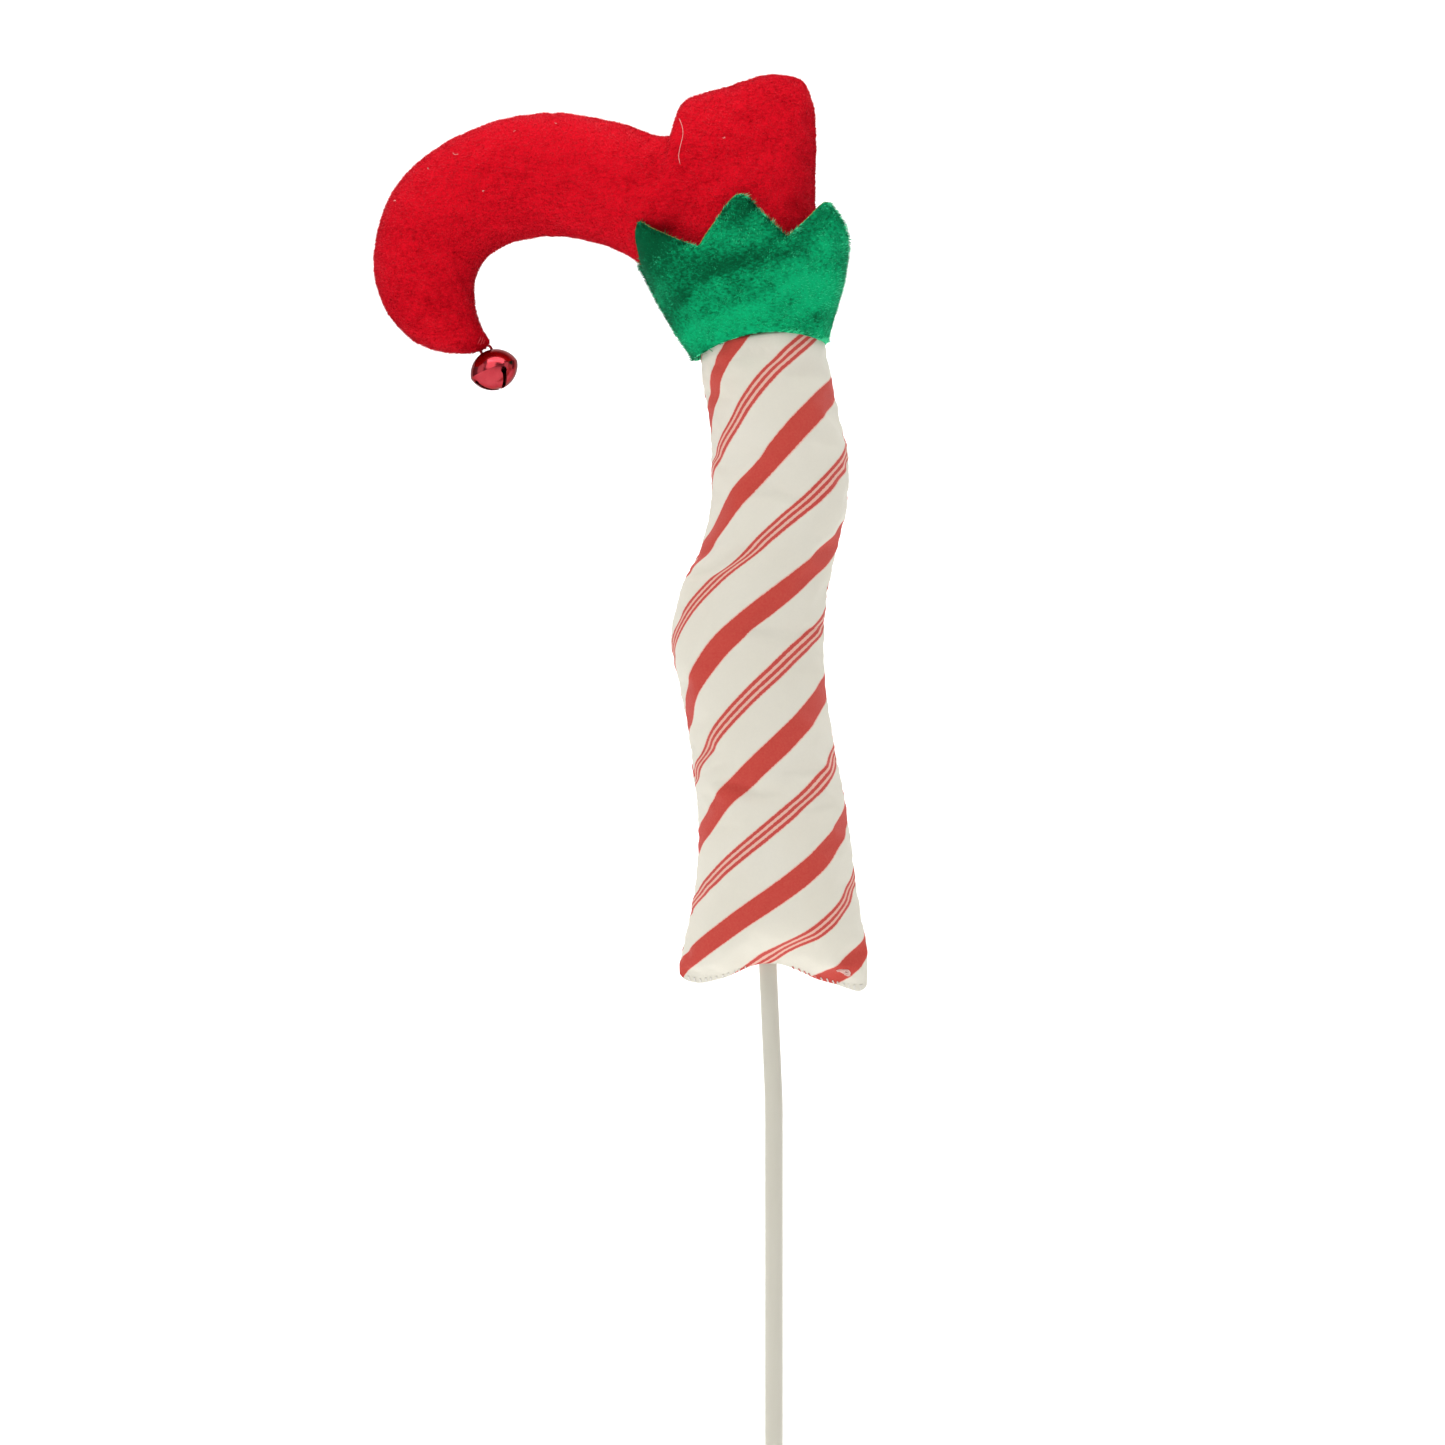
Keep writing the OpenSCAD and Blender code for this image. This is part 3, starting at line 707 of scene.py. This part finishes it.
def make_leg(material):
    rows = leg_rings()
    angle = ring_angles(leg_ring_points)
    level = rows.copy()
    level[:, 5] = 0
    flat = section_points(level, angle)
    lift = hem_lift(flat[..., 0], rows[:, 5:6])
    points = leg_surface(flat, lift, angle)
    inner = points[:1].copy()
    inner[..., 1] *= 0.4
    inner[..., 2] += 0.9
    top = points[-1:].mean(axis=1)
    shape = np.concatenate([points.reshape(-1, 3), inner[0], top])
    faces = leg_faces()
    line, column = np.divmod(np.arange(len(shape)), leg_ring_points)
    seam = (column % (leg_ring_points // 2) == 0) & (line < leg_ring_count)
    ends = (line < 3) | (line >= leg_ring_count - 4)
    shape = inflate(shape, faces, seam | ends, cap=1.3, pressure=3.0, growth=0.03)
    mesh = new_mesh("leg_cover", shape, faces)
    paint_leg(mesh, leg_maps(flat, lift), (leg_ring_count - 1) * leg_ring_points)
    set_values(mesh, "seam", seam)
    cover = new_object("leg_cover", mesh, material)
    subdivide(cover)
    groove_leg(cover.data)
    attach(cover, "root")
    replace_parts(cover, "leg_front_panel", "leg_back_panel", "leg_seam_threads", "leg_stuffing",
                "ankle_seam_thread")
    return cover


def groove_leg(mesh):
    """Draws the two side seams in, with small puckers beside them."""
    seam = get_values(mesh, "seam")
    points, normals = mesh_points(mesh), mesh_normals(mesh)
    pucker = 0.75 + 0.35 * np.sin(points[:, 2] * 1.25 + 2 * soft_noise(points, 9, 8))
    above_hem = np.clip((points[:, 2] - 208) / 6, 0, 1)
    wave = np.sin(points[:, 2] * 1.9 + 3 * soft_noise(points, 7, 9))
    beside = 0.09 * wave * bump_at(np.abs(points[:, 1]) - 1.6, 1.4)
    depth = (0.6 * seam**2 * pucker - beside) * above_hem
    move_points(mesh, points - normals * depth[:, None])


# ---- Shoe ----

def shoe_loft():
    places = np.linspace(0, len(shoe_rows) - 1, 6 * (len(shoe_rows) - 1) + 1)
    count = shoe_ring_points
    points = section_points(rows_at(shoe_rows, places), ring_angles(count))
    lines = len(places)
    ends = np.stack([points[0].mean(axis=0), points[-1].mean(axis=0)])
    quads = grid_quads(lines, count, True)
    last = (lines - 1) * count
    caps = [[(j + 1) % count, j, lines * count] for j in range(count)]
    caps += [[last + j, last + (j + 1) % count, lines * count + 1] for j in range(count)]
    return np.concatenate([points.reshape(-1, 3), ends]), quads + caps


def remeshed(points, faces, voxel):
    """The same shape with even quads, and its points put back on the surface."""
    scratch = new_object("scratch", new_mesh("scratch", points, faces))
    surface = BVHTree.FromPolygons([Vector(p) for p in points], faces)
    mesh = with_modifier(scratch, "REMESH", mode="VOXEL", voxel_size=voxel * MM)
    bpy.data.objects.remove(scratch)
    even = mesh_points(mesh)
    for _ in range(2):
        even = smoothed(mesh, even)
        even = np.array([surface.find_nearest(Vector(p))[0] for p in even])
    return even, [list(face.vertices) for face in mesh.polygons]


def smoothed(mesh, points):
    """Each point moved half way to the middle of its neighbours."""
    edges = np.empty(len(mesh.edges) * 2, np.int32)
    mesh.edges.foreach_get("vertices", edges)
    edges = edges.reshape(-1, 2)
    total, count = np.zeros_like(points), np.zeros(len(points))
    for a, b in ((0, 1), (1, 0)):
        np.add.at(total, edges[:, a], points[edges[:, b]])
        np.add.at(count, edges[:, a], 1)
    return 0.5 * points + 0.5 * total / np.maximum(count, 1)[:, None]


def nap_and_painted_shade(points):
    """Tone of the velvet's nap, 0 dark and 1 light: mottled patches where the nap lies flat, painted shade on
    the toe's underside, and a painted dark band along the seam.
    """
    patches = 0.06 * soft_noise(points * [0.5, 1, 1], 9, 21) + 0.06 * soft_noise(points, 2.5, 22)
    toe = np.clip((-40 - points[:, 0]) / 30, 0, 1)
    # Painted shade: the toe is darker towards its underside, as if lit from above.
    low = 0.13 * toe * np.tanh((424 - points[:, 2]) / 14)
    # Darker along the seam plane: partly the seam itself, partly painted shade that darkens the shoe's
    # outline.
    seam = 0.3 * bump_at(points[:, 1], 4.5)
    return np.clip(0.72 + patches - low - seam, 0, 1)


def shoe_pins(points):
    """The points that stay while the shoe is filled: its seams, its ankle and the toe's tip."""
    x, y, z = points.T
    return (np.abs(y) < seam_half) | ((z < 390) & (x > -40)) | ((z < 388) & (x > -88) & (x < -60))


def make_shoe(material):
    points, faces = remeshed(*shoe_loft(), 1.25)
    points = inflate(points, faces, shoe_pins(points), cap=1.2, pressure=3.0, growth=0.015)
    cover = new_object("shoe_cover", new_mesh("shoe_cover", points, faces), material)
    subdivide(cover)
    mesh = cover.data
    points, normals = mesh_points(mesh), mesh_normals(mesh)
    groove = bump_at(points[:, 1], 0.6) * (1 - np.abs(normals[:, 1]))
    lumps = 0.16 * soft_noise(points, 12, 11) + 0.05 * soft_noise(points, 4, 12)
    ripple = 0.08 * bump_at(np.abs(points[:, 1]) - 1.5, 1.6) * soft_noise(points, 2.4, 13)
    free = 1 - tip_share(points)
    move_points(mesh, points + normals * ((lumps + ripple - 0.55 * groove) * free)[:, None])
    set_values(mesh, "shade", nap_and_painted_shade(mesh_points(mesh)))
    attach(cover, "root")
    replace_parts(cover, "shoe_front_panel", "shoe_back_panel", "shoe_seam_threads", "shoe_stuffing")
    return cover


def tip_share(points):
    """1 at the tip of the toe, where the bell is tied, and 0 away from it."""
    return np.exp(-((np.linalg.norm(points - np.array(toe_tip), axis=-1) / 4) ** 4))


# ---- Pile ----

def scatter(mesh, count, draw):
    """Random places on a mesh: points, normals and shades."""
    mesh.calc_loop_triangles()
    corners = np.empty(len(mesh.loop_triangles) * 3, np.int32)
    mesh.loop_triangles.foreach_get("vertices", corners)
    corners = corners.reshape(-1, 3)
    points, normals = mesh_points(mesh), mesh_normals(mesh)
    shade = get_values(mesh, "shade")
    a, b, c = (points[corners[:, k]] for k in range(3))
    area = np.linalg.norm(np.cross(b - a, c - a), axis=1)
    chosen = corners[draw.choice(len(corners), count, p=area / area.sum())]
    share = draw.dirichlet((1, 1, 1), count)
    blend = [(values[chosen] * share.reshape(count, 3, *[1] * (values.ndim - 1))).sum(axis=1)
             for values in (points, normals, shade)]
    return blend[0], unit(blend[1]), blend[2]


def fibre_mesh(name, roots, directions, across, lengths, width):
    """Closed thin pyramids, one for each fibre."""
    third = np.cross(directions, across)
    count = len(roots)
    corners = [roots - 0.12 * directions + width / 2 * (math.cos(t) * across + math.sin(t) * third)
               for t in (math.pi / 2, math.pi * 7 / 6, math.pi * 11 / 6)]
    tips = roots + directions * lengths[:, None]
    points = np.stack([*corners, tips], axis=1).reshape(-1, 3)
    base = 4 * np.arange(count)[:, None]
    pattern = np.array([[0, 2, 1], [0, 1, 3], [1, 2, 3], [2, 0, 3]])
    faces = (base[:, None, :] + pattern[None]).reshape(-1, 3)
    return new_mesh(name, points, faces.tolist())


def nap_direction(points, normals, lay, swirl, seed):
    """Direction in which the pile lies along the surface."""
    turn = swirl * soft_noise(points, 13, seed) + 0.5 * swirl * soft_noise(points, 4, seed + 1)
    turn = turn[:, None]
    lay = unit(np.array(lay, float))
    along = unit(lay - normals * (normals @ lay)[:, None])
    return unit(along * np.cos(turn) + np.cross(normals, along) * np.sin(turn))


def streaks(points, lay, size, seed):
    """Noise of about -1 to 1 in streaks along the pile, as wide as the size given."""
    lay = unit(np.array(lay, float))
    along = points @ lay
    return soft_noise(points - 0.75 * along[:, None] * lay, size, seed, 40)


def make_pile(name, cover, looks, lay, seed, keep=None, *,
              count, length, width, lean, grain, contrast, slot):
    """Pile on a cover, as one piece for each shade of fibre."""
    draw = np.random.RandomState(seed)
    roots, normals, shade = scatter(cover.data, count, draw)
    if keep is not None:
        kept = keep(roots, normals)
        roots, normals, shade = roots[kept], normals[kept], shade[kept]
    along = nap_direction(roots, normals, lay, 0.7, seed)
    tilt = np.radians(lean + 14 * draw.normal(size=len(roots)))[:, None]
    loose = 0.22 * draw.normal(size=(len(roots), 3))
    directions = unit(normals * np.cos(tilt) + along * np.sin(tilt) + loose)
    across = unit(np.cross(directions, unit(draw.normal(size=(len(roots), 3)))))
    lengths = length * draw.uniform(0.65, 1.2, len(roots))
    # Each fibre's tone follows the shade attribute, so the fibres carry its painted shade and painted light
    # as well as the pressed pile.
    rank = shade + contrast * streaks(roots, lay, grain, seed) + 0.12 * draw.normal(size=len(roots))
    rank = np.clip(rank, 0, 0.999)
    for k, look in enumerate(looks):
        own = (rank * len(looks)).astype(int) == k
        mesh = fibre_mesh(f"{name}_{k + 1}", roots[own], directions[own], across[own], lengths[own], width)
        pile = new_object(mesh.name, mesh, look)
        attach(pile, "root")


# ---- Cuff ----

def even_angles(start, end, steps):
    """Angles round the cuff at even distances along its outline."""
    fine = np.radians(np.linspace(start, end, 1500))
    outline = section_points(rows_at(cuff_rows, np.array([3.0])), fine)[0]
    run = distance_along(outline)
    return np.interp(np.linspace(0, run[-1], steps + 1), run, np.degrees(fine)), run[-1]


def tooth_height(points, angles):
    """Zigzag of the cuff's upper edge, with its points rounded."""
    corners = np.array(points, float)
    around = np.linspace(-12, 12, 49)
    weight = bump_at(around, 6)
    sharp = np.interp(angles, corners[:, 0], corners[:, 1])
    soft = sum(w * np.interp(angles + a, corners[:, 0], corners[:, 1]) for a, w in zip(around, weight))
    return np.minimum(sharp, soft / weight.sum())


def cuff_folds(points):
    """Soft folds in the cuff, deepest at its lower left."""
    x, z = points[..., 0], points[..., 2]
    run = 0.75 * (x + 36) + 0.66 * (z - 377)
    low_left = bump_at(x + 27, 13) * bump_at(z - 386, 12)
    folds = 0.75 * np.sin(run * 0.75) * low_left
    face = np.clip(np.abs(points[..., 1]) / 12, 0, 1)
    waist = -0.6 * bump_at(z - 385 - 0.11 * x, 3) * (1 - low_left)
    roll = 0.5 * bump_at(z - 379.5 - 0.11 * x, 2.4)
    lumps = 0.45 * soft_noise(points, 9, 31) + 0.2 * soft_noise(points, 4, 32)
    return face * (folds + waist + roll + lumps)


def cuff_shade(points):
    """Tone of the cuff's pile: slanting bands and patches of pressed and raised pile, partly painted sheen,
    on painted light that makes it lighter towards the lower right.
    """
    x, y, z = points[..., 0], points[..., 1], points[..., 2]
    # Painted light: the pile gets lighter towards the lower right and darker towards the top, as its sheen.
    slope = 0.007 * (x + 8) - 0.01 * (z - 397)
    slanted = np.stack([0.3 * (x + 0.4 * z), 0.5 * y, z - 0.4 * x], axis=-1)
    patches = 0.12 * soft_noise(slanted, 5.5, 41) + 0.06 * soft_noise(points, 2.5, 42)
    front = np.clip(-y / 6, 0, 1)
    # The listed patches are pressed and raised pile, whose darkness and brightness are partly painted sheen
    # and shade.
    for at_x, at_z, wide, tall, amount in cuff_patches:
        rise = z - at_z - 0.3 * (x - at_x)
        patches = patches + front * amount * bump_at(x - at_x, wide) * bump_at(rise, tall)
    return np.clip(0.55 + slope + patches, 0, 1)


def cuff_layer_normals(grid):
    across = np.gradient(grid, axis=0)
    along = np.gradient(grid, axis=1)
    return unit(np.cross(across, along))


def cuff_grid(points):
    """Outer surface of half the cuff, as a grid from seam to seam: points, normals and width."""
    angles, width = even_angles(points[0][0], points[-1][0], cuff_steps)
    heights = tooth_height(points, angles)
    share = np.linspace(0, 1, cuff_levels + 1)
    grid = np.stack([
        section_points(rows_at(cuff_rows, height * share), np.radians([angle]))[:, 0]
        for angle, height in zip(angles, heights)
    ])
    normals = cuff_layer_normals(grid)
    grid = grid + normals * cuff_folds(grid)[..., None]
    return grid, cuff_layer_normals(grid), width


def steps_from_end(last):
    """For each of the places 0 to last, its distance to the nearer end."""
    place = np.arange(last + 1)
    return np.minimum(place, last - place)


def cuff_shell(grid, normals):
    """Points and faces of half the cuff, thinner towards its edges."""
    lines, count = grid.shape[:2]
    full = 1 - 0.62 * np.exp(-steps_from_end(count - 1) / 0.9)
    full = full[None, :] * (1 - 0.45 * np.exp(-steps_from_end(lines - 1) / 1.2))[:, None]
    middle = grid - normals * cuff_thick / 2
    outer = middle + normals * (cuff_thick / 2 * full)[..., None]
    inner = middle - normals * (cuff_thick / 2 * full)[..., None]
    below = lines * count
    quads = np.array(grid_quads(lines, count, False))
    rim = rim_path(lines, count)
    sides = [[a, b, b + below, a + below] for a, b in zip(rim, rim[1:] + rim[:1])]
    faces = quads.tolist() + (quads[:, ::-1] + below).tolist() + [face[::-1] for face in sides]
    return np.concatenate([outer.reshape(-1, 3), inner.reshape(-1, 3)]), faces


def make_cuff(name, points, material, nodes):
    grid, normals, width = cuff_grid(points)
    cuff = new_object(name, new_mesh(name, *cuff_shell(grid, normals)), material)
    subdivide(cuff)
    set_values(cuff.data, "shade", cuff_shade(mesh_points(cuff.data)))
    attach(cuff, "root")
    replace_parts(cuff, *nodes)
    return cuff, grid[:, -1], normals[:, -1]


def outside(points, normals):
    """True where the cuff faces away from the leg, or up or down at its edges."""
    away = unit(points * [1, 1, 0] + [8, 0, 0])
    return (normals * away).sum(axis=1) > -0.25


def rim_path(lines, count):
    """Border of a grid of points, once round."""
    first = list(range(count))
    down = [i * count + count - 1 for i in range(1, lines)]
    back = [(lines - 1) * count + j for j in range(count - 2, -1, -1)]
    up = [i * count for i in range(lines - 2, 0, -1)]
    return first + down + back + up


def make_edge_thread(edge, normals, name, material):
    """Overlocking thread along the cuff's points, between its face and its lining."""
    line = edge - normals * cuff_thick / 2
    make_thread(name, plies(line, 2, 0.12, 1.6), 0.12, 6, material)


# ---- Hem, threads and lint ----

def hem_point(tree, x):
    """Lowest place of the leg cover at x, or None beside the cover."""
    return tree.ray_cast(Vector((x, 0, 190)), Vector((0, 0, 1)))[0]


def hem_loop(tree, x, bottom, reach):
    """One slanted stitch round the hem, which reaches up this far on both sides."""
    loop = []
    for turn in np.linspace(-0.5 * math.pi, 1.5 * math.pi, 22):
        side, up = math.cos(turn), math.sin(turn)
        slanted = x + 0.55 * (1 + up) / 2 * side
        height = bottom[2] + (reach * (1 + up) / 2 - 0.25)
        loop.append(pushed_out(tree, (slanted, 1.25 * side * (0.75 + 0.25 * abs(up)), height)))
    return loop


def make_hem_stitches(cover, light, red):
    """Whip stitches round the closed hem. Gives back the cover's surface for the knot."""
    tree = surface_tree(cover.data)
    draw = np.random.RandomState(61)
    paths = {"light": [], "red": []}
    for x in np.arange(-23.6, 24.6, 1.55):
        if abs(x - stem_at_hem) < stem_r + 1.2:
            continue
        x = x + draw.uniform(-0.2, 0.2)
        bottom = hem_point(tree, x)
        if bottom is None:
            continue
        loop = hem_loop(tree, x, bottom, draw.uniform(1.5, 2.1))
        paths["red" if red_stitches[0] < x < red_stitches[1] else "light"].append(loop)
    make_thread("hem_thread_light", paths["light"], 0.2, 6, light)
    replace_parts(make_thread("hem_thread_red", paths["red"], 0.2, 6, red), "hem_stitches")
    return tree


def surface_tree(mesh):
    faces = [list(face.vertices) for face in mesh.polygons]
    return BVHTree.FromPolygons([Vector(p) for p in mesh_points(mesh)], faces)


def pushed_out(tree, point, gap=0.12):
    """A point of a stitch, put just outside the cloth."""
    place, normal, _, _ = tree.find_nearest(Vector(point))
    return list(place + normal * gap)


def make_hem_knot(tree, look):
    """Small tangle of thread at the right end of the hem."""
    draw = np.random.RandomState(71)
    middle = np.array(hem_knot_place)
    paths = []
    for _ in range(11):
        turn = np.linspace(0, draw.uniform(2.5, 5.5), 22) + draw.uniform(0, 6)
        wide, tall, slant = draw.uniform(0.5, 1.9), draw.uniform(0.3, 1.2), draw.uniform(-0.6, 0.6)
        shift = middle + [draw.uniform(-0.9, 0.9), 0, draw.uniform(-0.5, 0.5)]
        across = shift[0] + wide * np.cos(turn)
        height = shift[2] + tall * np.sin(turn) + slant * np.cos(turn)
        lift = 0.2 + 0.2 * np.sin(1.7 * turn + draw.uniform(0, 6))
        paths.append([pushed_out(tree, (x, middle[1], z), gap) for x, z, gap in zip(across, height, lift)])
    make_thread("hem_knot", paths, 0.13, 6, look)


def make_tie(look):
    """Two thread loops through the toe's tip that hold the bell's shank."""
    low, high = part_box("bell_tie")
    hole_z = high.z / MM - tie_r
    bottom = np.array([low.x / MM + tie_r, 0, low.z / MM + tie_r])
    radius = (hole_z - bottom[2]) / 2
    turn = ring_angles(64)[:, None]
    paths = []
    for lean in (-0.35, 0.1):
        up = np.array([math.sin(lean), 0, math.cos(lean)])
        middle = bottom + up * radius
        loop = middle + radius * (-np.cos(turn) * up + 0.5 * np.sin(turn) * np.array([0, 1, 0]))
        paths += plies(loop, 2, 0.15, 1.3, True)
    tie = make_thread("tie_thread", paths, 0.17, 7, look, "tie", True)
    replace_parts(tie, "bell_tie")


def make_tip_stitches(tree, look):
    """Short stitches that draw the tip of the toe together."""
    share = np.linspace(-1, 1, 9)
    paths = []
    for side in (-1, 1):
        for back, slope in ((0, 0.8), (0.9, 1.2), (2, 1.0)):
            line = [(-80.4 - back + 0.4 * s, side * 3, 381.9 + 0.3 * back + slope * s) for s in share]
            paths.append([pushed_out(tree, point, 0.35) for point in line])
    make_thread("tip_stitches", paths, 0.14, 6, look)


def make_lint(tree, look):
    """A stray hair by the heel and specks of lint, lying on the velvet's front."""
    draw = np.random.RandomState(81)
    share = np.linspace(0, 1, 24)
    x, z = hair_place
    lines = [[(x + 0.8 * math.sin(5.5 * s) + 0.9 * s, z - 13.5 * s) for s in share]]
    for x, z, size in lint_places:
        turn = np.linspace(0, draw.uniform(1.5, 5), 12) + draw.uniform(0, 6)
        lines.append([(x + size * math.cos(a), z + 0.6 * size * math.sin(a)) for a in turn])
    paths = [[pushed_out(tree, front_point(tree, x, z), 0.5) for x, z in line] for line in lines]
    make_thread("lint", paths, 0.06, 5, look)


def front_point(tree, x, z):
    """Place on the front of the shoe."""
    return tree.ray_cast(Vector((x, -60, z)), Vector((0, 1, 0)))[0] or Vector((x, 0, z))


# ---- Studio ----

def make_camera():
    data = bpy.data.cameras.new("camera")
    data.lens = camera_lens
    data.clip_end = 20
    camera = new_object("camera", data)
    camera.location = (Vector(camera_aim) - Vector((0, camera_distance, 0))) * MM
    camera.rotation_euler = (math.pi / 2, 0, 0)
    bpy.context.scene.camera = camera


def make_backdrop():
    """White floor that curves up into a white wall."""
    wide, near, far, bend, tall = 4000, -1500, 1500, 700, 3200
    profile = [(near, 0), (far - bend, 0)]
    profile += [(far - bend + bend * math.sin(a), bend - bend * math.cos(a))
                for a in np.linspace(0.1, math.pi / 2, 15)]
    profile += [(far, tall)]
    points = [(side * wide / 2, y, z - floor_gap) for y, z in profile for side in (-1, 1)]
    faces = [[2 * k, 2 * k + 1, 2 * k + 3, 2 * k + 2] for k in range(len(profile) - 1)]
    look = Look("backdrop")
    color = look.mix(look.noise(300, 1), rgb(0.9, 0.9, 0.9), rgb(0.93, 0.93, 0.93))
    look.set(Base_Color=color, Roughness=0.9, Emission_Color=rgb(1, 1, 1), Emission_Strength=0.30)
    new_object("backdrop", new_mesh("backdrop", points, faces), look.material)


def make_light(name, place, aim, size, power):
    data = bpy.data.lights.new(name, "AREA")
    data.shape = "RECTANGLE"
    data.size, data.size_y = size
    data.energy = power
    light = new_object(name, data)
    light.location = Vector(place) * MM
    light.rotation_euler = (Vector(aim) - Vector(place)).to_track_quat("-Z", "Y").to_euler()


def make_world():
    world = bpy.data.worlds.new("studio")
    world.use_nodes = True
    inputs = world.node_tree.nodes["Background"].inputs
    inputs["Color"].default_value = rgb(0.86, 0.87, 0.9)
    inputs["Strength"].default_value = 0.30
    bpy.context.scene.world = world


def light_studio():
    scene = bpy.context.scene
    scene.view_settings.view_transform = "Standard"
    make_world()
    aim = (-20, 0, 330)
    make_light("key", (-500, -900, 1250), aim, (0.9, 0.9), 4.5)
    make_light("top", (-60, -470, 1550), aim, (1.5, 0.6), 8)
    make_light("left", (-1150, -350, 500), aim, (0.6, 1.4), 2)
    make_light("right", (1150, -350, 500), aim, (0.6, 1.4), 2)
    make_light("wall", (0, 300, 1900), (0, 1500, 500), (2.5, 0.6), 26)


# ---- The whole ----

def dress_cad_nodes():
    """Gives the CAD nodes that stay visible their materials."""
    looks = {
        "stem_core": steel_look("wire", rgb(0.62, 0.62, 0.63)),
        "stem_sleeve": plastic_look(),
        "stem_glue": glue_look(),
        "bell_pellet": steel_look("pellet", rgb(0.5, 0.5, 0.52)),
    }
    lacquer = lacquer_look()
    looks["bell_top_shell"] = looks["bell_bottom_shell"] = looks["bell_shank"] = lacquer
    for name, look in looks.items():
        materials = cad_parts[name].data.materials
        materials.clear()
        materials.append(look)


def build():
    make_camera()
    make_backdrop()
    light_studio()
    dress_cad_nodes()
    # The fourth colour of each pile cloth is the painted dark rim where it turns away from view.
    velvet = pile_base_look("velvet", rgb(0.50, 0.001, 0.008), rgb(0.85, 0.005, 0.018),
                            rgb(0.22, 0.001, 0.012), (0.4, 1, 1))
    plush = pile_base_look("plush", rgb(0.001, 0.10, 0.035), rgb(0.004, 0.50, 0.19),
                           rgb(0.001, 0.14, 0.06), (0.6, 1, 1))
    # Three tones of fibre each, picked by the shade attribute with its painted shade; the lightest green
    # fibres also stand in for glints on single strands, a painted highlight.
    greens = [fibre_look("plush_dark", rgb(0.001, 0.11, 0.04), 0.1),
              fibre_look("plush_middle", rgb(0.002, 0.44, 0.18), 0.2),
              fibre_look("plush_light", rgb(0.03, 1.0, 0.45), 0.6)]
    reds = [fibre_look("velvet_dark", rgb(0.52, 0.001, 0.008), 0.05),
            fibre_look("velvet_middle", rgb(0.86, 0.006, 0.018), 0.08),
            fibre_look("velvet_light", rgb(1.0, 0.022, 0.042), 0.2)]
    cream = thread_look("cream_thread", rgb(0.72, 0.69, 0.62), rgb(0.86, 0.84, 0.78))
    salmon = thread_look("red_thread", rgb(0.62, 0.12, 0.11), rgb(0.85, 0.36, 0.30))
    ochre = thread_look("ochre_thread", rgb(0.16, 0.17, 0.02), rgb(0.36, 0.30, 0.05))
    pink = thread_look("pink_thread", rgb(0.80, 0.42, 0.36), rgb(0.90, 0.70, 0.63))
    leg = make_leg(cotton_look())
    shoe = make_shoe(velvet)
    front, front_edge, front_normals = make_cuff(
        "cuff_front", cuff_front_points, plush, ["cuff_front_face", "cuff_front_lining", "cuff_seam_threads"])
    back, back_edge, back_normals = make_cuff(
        "cuff_back", cuff_back_points, plush, ["cuff_back_face", "cuff_back_lining", "cuff_stitches"])
    make_edge_thread(front_edge, front_normals, "cuff_front_edge_thread", ochre)
    make_edge_thread(back_edge, back_normals, "cuff_back_edge_thread", ochre)
    make_pile("cuff_front_pile", front, greens, (0.9, 0, 0.7), 51, outside, **plush_pile)
    make_pile("cuff_back_pile", back, greens, (-0.9, 0, 0.7), 52, outside, **plush_pile)
    make_pile("shoe_pile", shoe, reds, (-1, 0, -0.1), 53, **velvet_pile)
    tree = make_hem_stitches(leg, cream, salmon)
    make_hem_knot(tree, pink)
    crimson = thread_look("velvet_thread", rgb(0.55, 0.008, 0.02), rgb(0.75, 0.02, 0.035))
    make_tie(crimson)
    velvet_tree = surface_tree(shoe.data)
    make_tip_stitches(velvet_tree, crimson)
    make_lint(velvet_tree, pink)


build()
